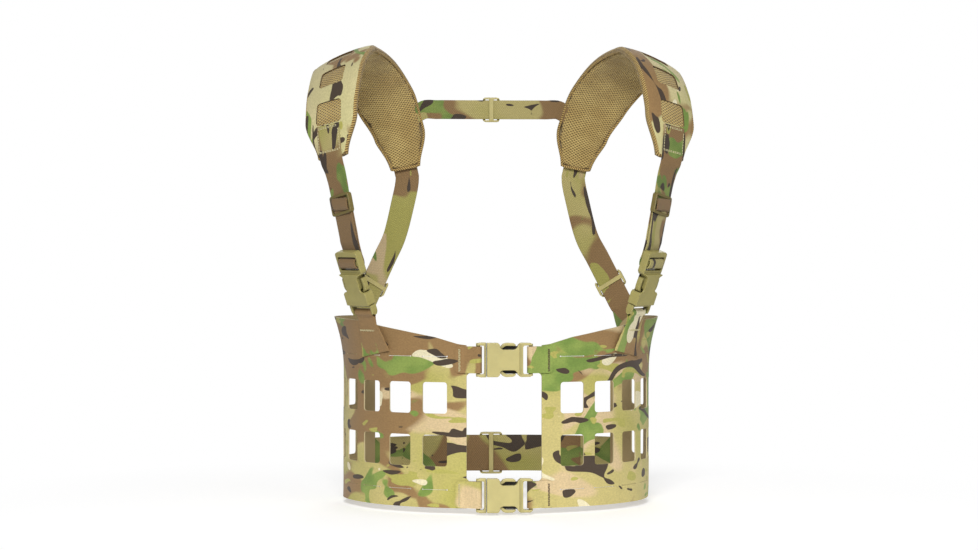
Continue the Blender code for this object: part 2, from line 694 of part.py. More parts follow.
def build_shoulder_tab(word, side, matrix):
    """Webbing tab: up from the panel, round the plug's bar and back down over itself."""
    s = side * SHOULDER_TAB_S
    radius = BAR_RADIUS + SHOULDER_TAB_BAR_GAP + WEB / 2
    turn = [matrix @ Vector((SHOULDER_BUCKLE.bar_x + radius * math.cos(angle), 0,
                             SHOULDER_BUCKLE.bar_z + radius * math.sin(angle)))
            for angle in map(math.radians, SHOULDER_TAB_TURN)]
    rise = [body_point(s, z, TAB_INNER_LEAF) for z in SHOULDER_TAB_HEIGHTS]
    fall = [body_point(s, z, TAB_OUTER_LEAF) for z in reversed(SHOULDER_TAB_HEIGHTS)]
    across = matrix.col[1].xyz
    # on the panel the tab lies along the body's section instead of the bar
    level = (body_point(s + 0.001, 0.16) - body_point(s - 0.001, 0.16)).normalized()
    if level.dot(across) < 0:
        level = -level
    acrosses = [level] * len(rise) + [across] * len(turn) + [level] * len(fall)
    webbing_strip(word + "_shoulder_buckle_tab", rise + turn + fall, acrosses,
                  [-1.0, 0.0, 1.0], PANEL_HINGES[word])


def build_front_strap(word, pad_end, matrix, hinge):
    """Straight from the pad to the socket's tail, then over the bar between its slots."""
    across, buckle_normal = matrix.col[1].xyz, matrix.col[2].xyz
    tail = [matrix @ Vector((x * MM, 0, z * MM)) for x, z in STRAP_IN_TAIL]
    start, end = pad_end.point - pad_end.along * STRAP_UNDER_PAD, tail[0]
    points = [start.lerp(end, share) for share in STRAP_SHARES] + tail
    normals = [pad_end.normal, pad_end.normal.lerp(buckle_normal, 0.45)] + [buckle_normal] * 3
    acrosses = []
    for i, normal in enumerate(normals):
        along = (points[i + 1] - points[max(i - 1, 0)]).normalized()
        direction = square_to(normal, along).cross(along)
        acrosses.append(direction if direction.dot(across) > 0 else -direction)
    acrosses += [across] * len(tail)
    webbing_strip(word + "_front_strap", points, acrosses, [-1.0, 1.0], hinge)

    along = (end - start).normalized()
    slider_matrix = frame_matrix(along, square_to(buckle_normal, along),
                                 start.lerp(end, FRONT_SLIDER_SHARE))
    slider(word + "_strap_slider", slider_matrix, WEB_WIDTH, FRONT_SLIDER_LENGTH)


for side, word in SIDES:
    matrix = shoulder_matrix(side)
    pad_end = PADS[word].at(0.0)
    strap_hinge = pivot(word + "_front_strap_pivot", pad_end.point)
    build_buckle(word + "_shoulder_buckle", SHOULDER_BUCKLE, matrix, strap_hinge,
                 ("inner", "outer") if side > 0 else ("outer", "inner"))
    build_shoulder_tab(word, side, matrix)
    build_front_strap(word, pad_end, matrix, strap_hinge)

# ------------------------------------------------------------------ back straps, adjusters and tabs
BACK_ADJUSTER_LENGTH = 0.018
BACK_ADJUSTER_UP = 0.016      # adjuster's middle to the strap's lower end


def build_back_strap(word, side):
    pad_end = PADS[word].at(PADS[word].length)
    bend = Vector((side * 0.1015, 0.1045, 0.2640))
    lower = body_point(side * 0.3240, 0.2010, 4.5 * MM)
    flat = (body_normal(side * 0.345, 0.20) + Vector((0, 0.5, 0))).normalized()
    points = [pad_end.point + pad_end.along * 0.0012, pad_end.point + pad_end.along * 0.0120,
              (side * 0.0925, 0.1080, 0.3000), bend, bend.lerp(lower, 0.4), lower]
    normals = [pad_end.normal, pad_end.normal, (side * 0.1, 1, 0.0), flat, flat, flat]
    path = Path(points, normals)
    strap(word + "_back_strap", path, path.steps(0.014))
    slider(word + "_back_adjuster", path.frame(path.length - BACK_ADJUSTER_UP), WEB_WIDTH,
           BACK_ADJUSTER_LENGTH)
    # a short tab carries on from the strap's lower end
    end = path.at(path.length)
    tab = Path([end.point + end.along * 0.0010, end.point + end.along * 0.0140],
               [end.normal, end.normal])
    strap(word + "_back_tab", tab, tab.steps(0.006))


for side, word in SIDES:
    build_back_strap(word, side)

# ------------------------------------------------------------------ waist strap
WAIST_STRAP_WIDTH = 38.0 * MM
WAIST_STRAP_Z = 0.035
WAIST_ARCS = (0.3018, 0.322, 0.342, 0.362, 0.380)   # arc distances of the curved part's points
WAIST_FLAT_X = 0.029                # the flat part's end
WAIST_FLAT_Y = BACK_DEPTH - 0.0015
WAIST_ADJUSTER_LENGTH = 0.024
WAIST_CLEAR = 0.035                 # no extra grid lines this near the middle


def build_waist_strap():
    z = WAIST_STRAP_Z
    points = [body_point(s, z, LAMINATE / 2) for s in WAIST_ARCS]
    normals = [body_normal(s, z) for s in WAIST_ARCS]
    points += [Vector((WAIST_FLAT_X + 0.011, WAIST_FLAT_Y - 0.0012, z)),
               Vector((WAIST_FLAT_X, WAIST_FLAT_Y, z)),
               Vector((0.010, WAIST_FLAT_Y, z)), Vector((0.0, WAIST_FLAT_Y, z))]
    normals += [Vector((0, 1, 0))] * 4
    points += [flipped(p, -1) for p in reversed(points[:-1])]
    normals += [flipped(n, -1) for n in reversed(normals[:-1])]
    path = Path(points, normals, [WAIST_STRAP_WIDTH] * len(points))
    middle = path.length / 2
    # halfway lines between control points, except in the third span
    halves = [(a + b) / 2 for k, (a, b) in enumerate(zip(path.knots, path.knots[1:])) if k != 2]
    us = lines(path.knots + [u for u in halves if abs(u - middle) > WAIST_CLEAR])
    strap("waist_strap", path, us)
    slider("waist_adjuster", path.frame(middle), WAIST_STRAP_WIDTH, WAIST_ADJUSTER_LENGTH)


build_waist_strap()

# ------------------------------------------------------------------ cross strap between the pads' rear parts
CROSS_STRAP_WIDTH = 0.020
CROSS_STRAP_Z = 0.384           # height where it meets the pads
CROSS_PAD_GAP = 0.0055          # from the pad's inner edge
CROSS_ADJUSTER_LENGTH = 0.018


def cross_strap_end(side, path):
    """The point just inside a pad's inner edge at the cross strap's height, and its normal."""
    stations = [path.at(u) for u in path.steps(0.002)]
    rear = [station for station in stations if station.point.y > 0]
    nearest = min(rear, key=lambda station: abs(station.point.z - CROSS_STRAP_Z))
    reach = nearest.across * (nearest.width / 2 + CROSS_PAD_GAP)
    inward = 1 if nearest.across.x * side < 0 else -1
    return nearest.point + reach * inward, nearest.normal


def build_cross_strap():
    (left, left_normal), (right, right_normal) = [cross_strap_end(side, PADS[word])
                                                  for side, word in SIDES]
    y, z = left.y + 0.001, left.z
    points = [left, (left.x + 0.012, y, z), (0, y, z), (right.x - 0.012, y, z), right]
    normals = [left_normal] + [(0, 1, 0.1)] * 3 + [right_normal]
    path = Path(points, normals, [CROSS_STRAP_WIDTH] * len(points), straight=True)
    strap("cross_strap", path, lines(path.knots))
    slider("cross_adjuster", path.frame(path.length / 2), CROSS_STRAP_WIDTH,
           CROSS_ADJUSTER_LENGTH)


build_cross_strap()

bpy.context.view_layer.update()
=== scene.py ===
"""Camouflage harness vest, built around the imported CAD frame.

The vest stands upright in metres with +Z up and its front towards -Y; "left" is -X and "right"
is +X. Its own coordinates put the body's axis at x = y = 0, and SHIFT carries them into the
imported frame. Two curved panels meet at two front buckles. Padded straps run over the shoulders
to the back, where a waist strap and a cross strap join them.
"""

from collections import namedtuple
import json
import math

import bmesh
import bpy
import numpy as np
from mathutils import Matrix, Vector


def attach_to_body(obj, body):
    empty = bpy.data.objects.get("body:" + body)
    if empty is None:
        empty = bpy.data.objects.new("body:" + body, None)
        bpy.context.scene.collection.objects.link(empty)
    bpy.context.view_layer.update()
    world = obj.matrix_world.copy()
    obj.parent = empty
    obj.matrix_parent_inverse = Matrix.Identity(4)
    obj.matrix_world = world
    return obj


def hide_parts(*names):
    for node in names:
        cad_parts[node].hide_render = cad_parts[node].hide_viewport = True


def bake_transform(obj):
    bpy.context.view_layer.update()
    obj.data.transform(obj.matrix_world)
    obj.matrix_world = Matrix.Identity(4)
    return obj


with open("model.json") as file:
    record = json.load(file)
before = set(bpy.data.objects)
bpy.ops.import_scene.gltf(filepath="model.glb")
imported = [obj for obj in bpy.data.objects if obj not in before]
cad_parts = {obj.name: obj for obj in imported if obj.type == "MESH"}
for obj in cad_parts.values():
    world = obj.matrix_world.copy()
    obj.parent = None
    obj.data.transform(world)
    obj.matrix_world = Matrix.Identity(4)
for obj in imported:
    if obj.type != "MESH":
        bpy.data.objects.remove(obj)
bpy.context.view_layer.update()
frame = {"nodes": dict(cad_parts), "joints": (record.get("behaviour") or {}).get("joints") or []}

MM = 0.001
SIDES = ((-1, "left"), (1, "right"))

# front buckles: distance of a bar from the middle, its depth, the buckles' heights
BAR_X, BAR_Y = 25.2 * MM, -0.1423
BOTTOM_BUCKLE_Z, TOP_BUCKLE_Z = 0.0128, 0.1418

# body section: half width at the waist and its widening, depth to the front and to the back
WAIST, FLARE, FRONT, BACK = 0.153, 0.0095, 0.140, 0.100
FLARE_Z, FLARE_HEIGHT = 0.128, 0.052

# front panels, in distance round the body and height
PANEL_INNER, PANEL_OUTER = 0.036, 0.300
PANEL_CORNER = 0.012
TAB_LOW, TAB_HIGH = (0.0005, 0.0260), (0.1290, 0.1545)
NOTCH = 0.004                                  # concave corners beside the tabs
WIN_COUNT, WIN_W, WIN_H, WIN_PITCH, WIN_START = 6, 0.025, 0.030, 0.0381, 0.055
WIN_ROWS = (0.0395, 0.0900)
SLITS = (0.0167, 0.1442)
SLIT_EDGES = (0.00034, 0.00066)
# the sloping top edge: distance round the body, height
PANEL_TOP = (np.array([0.0, 0.036, 0.044, 0.067, 0.103, 0.130, 0.150, 0.235, 0.300, 0.4]),
             np.array([0.155, 0.1555, 0.1565, 0.1630, 0.1693, 0.1735, 0.1780, 0.1810, 0.1810,
                       0.181]))

LAMINATE_T = 1.2 * MM
WEB_T = 1.4 * MM
WEB_W = 25.0 * MM
SEWN_LIFT = 5.35 * MM                          # webbing's height over a pad's centre path

swivel = {j["name"]: j for j in frame["joints"]}["top_socket_swivel"]["pos_m"]
SHIFT = Vector((0.0, swivel[1] - BAR_Y, swivel[2] - TOP_BUCKLE_Z))


# ================================================================== shader helpers
def srgb(red, green, blue):
    out = []
    for c in (red, green, blue):
        c /= 255.0
        out.append(c / 12.92 if c <= 0.04045 else ((c + 0.055) / 1.055) ** 2.4)
    return (*out, 1.0)


class ShaderNet:
    """Short calls that build the node tree of a material or a world."""

    def __init__(self, owner):
        owner.use_nodes = True
        self.owner = owner
        self.tree = owner.node_tree
        self.bsdf = self.tree.nodes.get("Principled BSDF")

    def new(self, kind, **props):
        node = self.tree.nodes.new(kind)
        for key, value in props.items():
            setattr(node, key, value)
        return node

    def put(self, socket, value):
        """Links a socket or sets a plain value."""
        if isinstance(value, bpy.types.NodeSocket):
            self.tree.links.new(value, socket)
        else:
            socket.default_value = value

    def math(self, operation, first, second=0.0, third=None):
        node = self.new("ShaderNodeMath", operation=operation)
        self.put(node.inputs[0], first)
        self.put(node.inputs[1], second)
        if third is not None:
            self.put(node.inputs[2], third)
        return node.outputs[0]

    def scaled(self, value, times, plus):
        return self.math("MULTIPLY_ADD", value, times, plus)

    def wave(self, value, period):
        return self.math("SINE", self.math("MULTIPLY", value, 2 * math.pi / period))

    def ramp(self, value, between=(0.0, 1.0), to=(0.0, 1.0), kind="SMOOTHSTEP"):
        node = self.new("ShaderNodeMapRange", interpolation_type=kind)
        self.put(node.inputs["Value"], value)
        for key, number in zip(("From Min", "From Max", "To Min", "To Max"), (*between, *to)):
            node.inputs[key].default_value = number
        return node.outputs["Result"]

    def mix(self, factor, under, over):
        node = self.new("ShaderNodeMix", data_type="RGBA")
        self.put(node.inputs["Factor"], factor)
        self.put(node.inputs[6], under)
        self.put(node.inputs[7], over)
        return node.outputs[2]

    def noise(self, vector, *, scale, detail=2.0, rough=0.5, warp=0.0):
        node = self.new("ShaderNodeTexNoise")
        self.put(node.inputs["Vector"], vector)
        node.inputs["Scale"].default_value = scale
        node.inputs["Detail"].default_value = detail
        node.inputs["Roughness"].default_value = rough
        node.inputs["Distortion"].default_value = warp
        return node.outputs["Fac"]

    def moved(self, vector, shift=(0, 0, 0), turn=0.0, squeeze=1.0):
        """Shifts, turns about the third axis and scales the second coordinate."""
        node = self.new("ShaderNodeMapping")
        self.put(node.inputs["Vector"], vector)
        node.inputs["Location"].default_value = shift
        node.inputs["Rotation"].default_value = (0, 0, turn)
        node.inputs["Scale"].default_value = (1, squeeze, 1)
        return node.outputs["Vector"]

    def bump(self, height, distance, strength, normal=None):
        node = self.new("ShaderNodeBump")
        node.inputs["Distance"].default_value = distance
        node.inputs["Strength"].default_value = strength
        self.put(node.inputs["Height"], height)
        if normal is not None:
            self.put(node.inputs["Normal"], normal)
        return node.outputs["Normal"]

    def tint(self, colour, value):
        """The colour with its brightness multiplied by value."""
        node = self.new("ShaderNodeHueSaturation")
        self.put(node.inputs["Color"], colour)
        self.put(node.inputs["Value"], value)
        return node.outputs["Color"]

    def uv(self):
        return self.new("ShaderNodeUVMap", uv_map="cloth").outputs["UV"]

    def split(self, vector):
        node = self.new("ShaderNodeSeparateXYZ")
        self.put(node.inputs[0], vector)
        return node.outputs[0], node.outputs[1]

    def object_position(self):
        return self.new("ShaderNodeTexCoord").outputs["Object"]

    def weave(self, uv, period=0.0009):
        """Plain weave; period is two threads."""
        run, rise = self.split(uv)
        return self.math("MULTIPLY", self.wave(run, period), self.wave(rise, period))

    def surface(self, *, colour, roughness, normal, sheen=0.0):
        self.put(self.bsdf.inputs["Base Color"], colour)
        self.put(self.bsdf.inputs["Roughness"], roughness)
        self.put(self.bsdf.inputs["Normal"], normal)
        self.put(self.bsdf.inputs["Sheen Weight"], sheen)
        return self.owner


def material_net(name):
    return ShaderNet(bpy.data.materials.new(name))


# ================================================================== materials
TAN = srgb(198, 184, 118)
OLIVE = srgb(178, 172, 88)
BROWN = srgb(150, 118, 74)
PINK = srgb(212, 188, 144)
GREEN = srgb(116, 142, 62)
LIGHT_GREEN = srgb(140, 160, 76)
DARK = srgb(70, 56, 42)
CREAM = srgb(230, 220, 184)


def camo_colour(net, uv, seed, dark=1.0, brown=0.0, pink=0.0, green=0.0, cream=0.0, pale=0.0,
                drift=None):
    """Blended woodland pattern of layered noise patches, in cloth space (metres).

    dark, brown, pink, green and cream enlarge or shrink that colour's patches; pale mixes cream
    into the ground. drift maps a colour to (low height, high height, gain at low, gain at high).
    """
    base = net.moved(uv, shift=(seed * 3.17, seed * 1.73, seed * 0.61))
    wide = net.moved(base, squeeze=1.45)
    height = net.split(uv)[1] if drift else None

    def lean(kind, field):
        """Lets one colour gain or lose ground between two heights of the cloth."""
        if not drift or kind not in drift:
            return field
        low, high, low_gain, high_gain = drift[kind]
        change = net.ramp(height, between=(low, high), to=(low_gain, high_gain))
        return net.math("ADD", field, change)

    def spots(vector, shift, turn=0.0, squeeze=1.0, **noise):
        return net.noise(net.moved(vector, (*shift, 0), turn, squeeze), **noise)

    def paint(ground, colour, field, between, bias=0.0):
        low, high = between
        return net.mix(net.ramp(field, between=(low - bias, high - bias)), ground, colour)

    # olive and tan ground with a slow blend
    field = lean("tan", net.noise(wide, scale=10.5, detail=1.6, rough=0.45, warp=0.35))
    ground = paint(OLIVE, TAN, field, between=(0.30, 0.62))
    if pale:
        ground = net.mix(pale, ground, CREAM)
    field = lean("brown", spots(wide, (5.1, 2.2), scale=9.5, detail=2.2, warp=0.6))
    ground = paint(ground, BROWN, field, between=(0.505, 0.535), bias=brown)
    field = lean("pink", spots(wide, (1.4, 7.7), scale=8.5, detail=1.8, warp=0.5))
    ground = paint(ground, PINK, field, between=(0.585, 0.61), bias=pink)
    # green patches in two tones
    field = lean("green", spots(wide, (9.3, 4.1), scale=13.0, detail=2.0, warp=0.8))
    tone = spots(wide, (2.3, 0.1), scale=40.0, detail=1.0)
    greens = paint(GREEN, LIGHT_GREEN, tone, between=(0.35, 0.65))
    ground = paint(ground, greens, field, between=(0.590, 0.602), bias=green)
    # small olive strokes
    field = spots(base, (6.6, 8.8), turn=0.5, squeeze=2.4, scale=26.0, detail=1.0, rough=0.4,
                  warp=0.5)
    ground = paint(ground, OLIVE, field, between=(0.680, 0.688))
    # rounded cream patches
    field = spots(base, (3.9, 1.1), turn=-0.35, squeeze=1.6, scale=24.0, detail=0.6, rough=0.4,
                  warp=0.3)
    ground = paint(ground, CREAM, field, between=(0.700, 0.706), bias=cream)
    # long dark branches, then small dark strokes
    field = spots(base, (8.2, 6.4), turn=0.42, squeeze=2.6, scale=15.5, detail=1.0, rough=0.4,
                  warp=1.2)
    ground = paint(ground, DARK, field, between=(0.640 / dark, 0.647 / dark))
    field = spots(base, (1.2, 9.4), turn=-0.3, squeeze=2.2, scale=34.0, detail=0.4, rough=0.4,
                  warp=0.4)
    return paint(ground, DARK, field, between=(0.728, 0.734))


def laminate_material(name, seed, **camo):
    """Printed face cloth with mottling, a plain weave and soft creases."""
    net = material_net(name)
    uv = net.uv()
    colour = camo_colour(net, uv, seed, **camo)
    grain = net.noise(uv, scale=1300.0, detail=3.0, rough=0.75)
    fleck = net.noise(net.moved(uv, squeeze=1.4), scale=430.0, detail=3.0, rough=0.8)
    mottle = net.noise(uv, scale=60.0, detail=3.0, rough=0.6)
    value = net.scaled(grain, times=0.34, plus=0.83)
    value = net.math("MULTIPLY", value, net.scaled(fleck, times=0.80, plus=0.60))
    value = net.math("MULTIPLY", value, net.scaled(mottle, times=0.20, plus=0.90))
    weave_share, grain_share = 0.5, 0.8
    height = net.math("ADD", net.math("MULTIPLY", net.weave(uv), weave_share),
                      net.math("MULTIPLY", grain, grain_share))
    normal = net.bump(height, distance=0.00006, strength=0.8)
    crease = net.noise(net.moved(uv, squeeze=0.6), scale=26.0, detail=3.0, rough=0.55)
    normal = net.bump(crease, distance=0.0012, strength=0.35, normal=normal)
    return net.surface(colour=net.tint(colour, value), roughness=0.78, sheen=0.12, normal=normal)


def plain_cloth(name, colour):
    net = material_net(name)
    uv = net.uv()
    grain = net.noise(uv, scale=1200.0, detail=2.0, rough=0.6)
    mottle = net.noise(uv, scale=45.0, detail=3.0, rough=0.6)
    value = net.math("MULTIPLY", net.scaled(grain, times=0.25, plus=0.86),
                     net.scaled(mottle, times=0.25, plus=0.88))
    normal = net.bump(net.math("ADD", net.weave(uv), grain), distance=0.00008, strength=0.8)
    return net.surface(colour=net.tint(colour, value), roughness=0.85, sheen=0.1, normal=normal)


def webbing_material(name, seed, brown, green):
    """Printed nylon webbing in a twill whose neighbouring columns are half a rib apart."""
    rib_pitch, column = 0.0022, 0.0015
    net = material_net(name)
    uv = net.uv()
    colour = camo_colour(net, uv, seed, brown=brown, green=green, pink=-0.06, cream=-0.3)
    run, rise = net.split(uv)
    number = net.math("FLOOR", net.math("DIVIDE", rise, column))
    odd = net.math("MODULO", net.math("ABSOLUTE", number), 2.0)
    phase = net.math("ADD", net.math("MULTIPLY", run, 2 * math.pi / rib_pitch),
                     net.math("MULTIPLY", odd, math.pi))
    ribs = net.math("SINE", phase)
    columns = net.math("ABSOLUTE", net.wave(rise, 2 * column))
    rib = net.math("MULTIPLY", net.scaled(ribs, times=0.5, plus=0.5), columns)
    grain = net.noise(net.moved(uv, squeeze=3), scale=900.0, detail=2.0, rough=0.6)
    # painted shade: the colour is darker in the grooves between ribs and columns
    value = net.math("MULTIPLY", net.scaled(rib, times=0.30, plus=0.66),
                     net.scaled(grain, times=0.3, plus=0.84))
    grain_share = 0.4
    height = net.math("ADD", rib, net.math("MULTIPLY", grain, grain_share))
    return net.surface(colour=net.tint(colour, value), roughness=0.72, sheen=0.2,
                       normal=net.bump(height, distance=0.00022, strength=0.9))


def mesh_lining_material(name):
    """Knitted spacer mesh: golden tan ribs round darker lozenge cells, the darkness painted shade in
    the holes.
    """
    cell_pitch, slope = 0.0030, 0.72
    wobble_size, hole_depth, yarn_height, hole_shade = 0.0006, -1.0, 0.3, 0.85
    net = material_net(name)
    uv = net.uv()
    run, rise = net.split(uv)
    wobble = net.math("MULTIPLY", net.noise(uv, scale=180.0, detail=1.0), wobble_size)
    rising = net.math("ADD", net.math("ADD", net.math("MULTIPLY", run, 1.0),
                                      net.math("MULTIPLY", rise, slope)), wobble)
    falling = net.math("SUBTRACT", net.math("MULTIPLY", run, 1.0),
                       net.math("SUBTRACT", net.math("MULTIPLY", rise, slope), wobble))
    # 1 in a cell's middle, 0 on the ribs
    cell = net.math("MULTIPLY", net.math("ABSOLUTE", net.wave(rising, 2 * cell_pitch)),
                    net.math("ABSOLUTE", net.wave(falling, 2 * cell_pitch)))
    hole = net.ramp(cell, between=(0.30, 0.75))
    yarn = net.noise(uv, scale=1400.0, detail=2.0, rough=0.7)
    patches = net.ramp(net.noise(uv, scale=40.0), between=(0.3, 0.7))
    rib_colour = net.mix(patches, srgb(206, 180, 112), srgb(186, 158, 94))
    # painted shade: the cells are darkened towards deep brown
    colour = net.mix(net.math("MULTIPLY", hole, hole_shade), rib_colour, srgb(104, 80, 40))
    height = net.math("ADD", net.math("MULTIPLY", hole, hole_depth),
                      net.math("MULTIPLY", yarn, yarn_height))
    return net.surface(colour=net.tint(colour, net.scaled(yarn, times=0.4, plus=0.8)),
                       roughness=0.9, sheen=0.25,
                       normal=net.bump(height, distance=0.0007, strength=0.9))


def binding_material(name):
    """Overlocked edge: slanted gold thread over a dark brown tape."""
    thread_pitch, slope, fuzz = 0.0024, 0.35, 0.8
    net = material_net(name)
    uv = net.uv()
    run, rise = net.split(uv)
    slant = net.math("ADD", run, net.math("MULTIPLY", rise, slope))
    strands = net.wave(slant, thread_pitch)
    fibre = net.noise(uv, scale=700.0, detail=2.0, rough=0.6)
    thread = net.ramp(net.math("ADD", strands, net.math("MULTIPLY", fibre, fuzz)),
                      between=(0.10, 0.62))
    height = net.math("ADD", thread, fibre)
    return net.surface(colour=net.mix(thread, srgb(112, 80, 38), srgb(206, 176, 102)),
                       roughness=0.8, sheen=0.2,
                       normal=net.bump(height, distance=0.0004, strength=0.9))


def nylon_material(name, colour, seed=0.0):
    """Moulded nylon: fine texture, slight mottling, lighter worn edges, faint scuffs, painted shade
    in crevices.
    """
    mottle_shade, light_gain, light_lift, scuff_share = 0.86, 1.35, 0.03, 0.25
    net = material_net(name)
    where = net.object_position()
    pointiness = net.new("ShaderNodeNewGeometry").outputs["Pointiness"]
    edges = net.ramp(pointiness, between=(0.515, 0.60))
    mottle = net.noise(net.moved(where, shift=(seed, 0, 0)), scale=55.0, detail=3.0, rough=0.6)
    fine = net.noise(where, scale=2600.0, detail=2.0, rough=0.6)
    scuff = net.noise(net.moved(where, shift=(0, seed, 0), squeeze=6), scale=420.0, detail=2.0,
                      rough=0.7, warp=1.0)
    shaded = (*(c * mottle_shade for c in colour[:3]), 1.0)
    light = (*(min(1.0, c * light_gain + light_lift) for c in colour[:3]), 1.0)
    tone = net.mix(net.ramp(mottle, between=(0.25, 0.8)), colour, shaded)
    wear = net.math("MULTIPLY", edges, net.scaled(scuff, times=0.7, plus=0.15))
    tone = net.mix(wear, tone, light)
    marks = net.math("MULTIPLY", net.ramp(scuff, between=(0.70, 0.76)), scuff_share)
    tone = net.mix(marks, tone, light)
    # painted shade: crevices within 5 mm are darker
    crevice = net.new("ShaderNodeAmbientOcclusion", samples=6)
    crevice.inputs["Distance"].default_value = 0.005
    contrast = 1.3
    shade = net.math("POWER", crevice.outputs["AO"], contrast)
    net.bsdf.inputs["Specular IOR Level"].default_value = 0.55
    net.bsdf.inputs["Subsurface Weight"].default_value = 0.06
    net.bsdf.inputs["Subsurface Radius"].default_value = (0.002, 0.0015, 0.0008)
    return net.surface(colour=net.tint(tone, net.scaled(shade, times=0.62, plus=0.38)),
                       roughness=net.scaled(mottle, times=0.14, plus=0.30),
                       normal=net.bump(fine, distance=0.00005, strength=0.55))


def thread_material(name, colour):
    net = material_net(name)
    twist = net.noise(net.object_position(), scale=2200.0, detail=2.0, rough=0.7)
    return net.surface(colour=net.tint(colour, net.scaled(twist, times=0.6, plus=0.68)),
                       roughness=0.6, sheen=0.3,
                       normal=net.bump(twist, distance=0.00008, strength=0.8))


PANEL_CLOTH = {
    -1: laminate_material("laminate_left", seed=1.3, brown=0.02, pink=-0.08,
                          drift={"brown": (0.045, 0.085, -0.06, 0.06),
                                 "tan": (0.03, 0.08, -0.10, 0.0)}),
    1: laminate_material("laminate_right", seed=4.9, brown=-0.01, pink=0.02,
                         drift={"brown": (0.10, 0.14, -0.02, 0.05),
                                "pink": (0.03, 0.08, 0.05, -0.02),
                                "green": (0.045, 0.075, -0.01, 0.03),
                                "tan": (0.0, 0.06, 0.08, 0.0)})}
PAD_CLOTH = {
    -1: laminate_material("pad_left", seed=7.7, brown=-0.06, pink=-0.06, green=-0.01, dark=1.01,
                          pale=0.42),
    1: laminate_material("pad_right", seed=2.6, brown=-0.06, pink=-0.06, green=0.01, dark=1.01,
                         pale=0.36)}
CLOTH_BACK = plain_cloth("laminate_back", srgb(166, 146, 104))
CLOTH_EDGE = plain_cloth("laminate_edge", srgb(196, 182, 140))
# the pads' cut edges are dark brown: partly their own colour, partly painted shade round the recessed
# windows
PAD_EDGE = plain_cloth("pad_edge", srgb(98, 76, 44))
FRONT_WEB = {-1: webbing_material("webbing_left", seed=3.3, brown=0.16, green=-0.04),
             1: webbing_material("webbing_right", seed=8.1, brown=0.06, green=0.01)}
PLAIN_WEB = webbing_material("webbing_back", seed=5.7, brown=-0.01, green=0.03)
BACK_WEB = {-1: webbing_material("webbing_back_left", seed=9.9, brown=0.0, green=0.02),
            1: webbing_material("webbing_back_right", seed=6.4, brown=0.0, green=0.03)}
SPACER_MESH = mesh_lining_material("spacer_mesh")
BINDING = binding_material("binding")
NYLON = nylon_material("buckle_nylon", srgb(196, 184, 122))
# painted shade: the shoulder buckles' nylon is the buckle nylon darkened for their shaded outward
# faces
NYLON_SHOULDER_PAINTED_SHADE = nylon_material("shoulder_buckle_nylon_painted_shade", srgb(172, 162, 98), seed=1.0)
# painted shade: the strap slides' nylon is the buckle nylon darkened to its shaded tone
NYLON_SLIDER_PAINTED_SHADE = nylon_material("slider_nylon_painted_shade", srgb(126, 112, 60), seed=2.0)
# painted shade: very dark nylon for the buckles' rear walls, so their openings read as shadow
NYLON_SHADED = nylon_material("shaded_nylon", srgb(46, 40, 24), seed=3.0)
THREAD = thread_material("thread_light", srgb(206, 196, 150))
THREAD_DARK = thread_material("thread_dark", srgb(92, 70, 46))


# ================================================================== the body section
THETA = np.linspace(0.0, math.pi, 1441)
_ARCS = {}


def half_width(z):
    rise = min(max(0.0, z - FLARE_Z) / FLARE_HEIGHT, 1.3)
    return WAIST + FLARE * rise * rise


def body_point(around, z, lift=0.0):
    """Point at a signed distance round the body from the front's middle, lifted off it."""
    half = half_width(z)
    key = round(half, 6)
    if key not in _ARCS:
        x = half * np.sin(THETA)
        y = np.where(THETA < math.pi / 2, -FRONT * np.cos(THETA), -BACK * np.cos(THETA))
        _ARCS[key] = np.concatenate([[0.0], np.cumsum(np.hypot(np.diff(x), np.diff(y)))])
    theta = float(np.interp(abs(around), _ARCS[key], THETA))
    depth = FRONT if theta < math.pi / 2 else BACK
    x, y = half * math.sin(theta), -depth * math.cos(theta)
    out_x, out_y = x / half ** 2, y / depth ** 2
    size = math.hypot(out_x, out_y)
    side = 1.0 if around >= 0 else -1.0
    return Vector((side * (x + lift * out_x / size), y + lift * out_y / size, z))


def body_normal(around, z):
    return (body_point(around, z, 0.01) - body_point(around, z, 0.0)).normalized()


# ================================================================== mesh helpers
def attach(obj, body, node=None):
    """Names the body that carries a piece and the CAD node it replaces."""
    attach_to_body(obj, body)
    if node:
        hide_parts(node)


def facing(vector, way):
    return vector if vector.dot(way) > 0 else -vector


def axes_matrix(along, out, origin):
    matrix = Matrix((along, out.cross(along), out)).transposed().to_4x4()
    matrix.translation = origin
    return matrix


def shade(mesh, angle):
    mesh.shade_smooth()
    if angle:
        mesh.set_sharp_from_angle(angle=math.radians(angle))


def finish_mesh(name, mesh, mats, angle=None):
    obj = bpy.data.objects.new(name, mesh)
    bpy.context.scene.collection.objects.link(obj)
    mesh.materials.clear()
    for mat in mats:
        mesh.materials.append(mat)
    shade(mesh, angle)
    return obj


def evaluated_mesh(obj):
    bpy.context.view_layer.update()
    graph = bpy.context.evaluated_depsgraph_get()
    return bpy.data.meshes.new_from_object(obj.evaluated_get(graph))


def apply_all(obj):
    """Bakes an object's modifiers into its mesh."""
    mesh = evaluated_mesh(obj)
    old = obj.data
    obj.modifiers.clear()
    obj.data = mesh
    bpy.data.meshes.remove(old)


def write_uvs(mesh, uvs):
    """Fills the cloth UV map from one pair per vertex."""
    layer = mesh.uv_layers.new(name="cloth")
    loops = np.zeros(len(mesh.loops), int)
    mesh.loops.foreach_get("vertex_index", loops)
    layer.data.foreach_set("uv", np.array(uvs)[loops].astype(np.float32).ravel())


def turn_outwards(mesh):
    bm = bmesh.new()
    bm.from_mesh(mesh)
    bmesh.ops.recalc_face_normals(bm, faces=bm.faces)
    bm.to_mesh(mesh)
    bm.free()


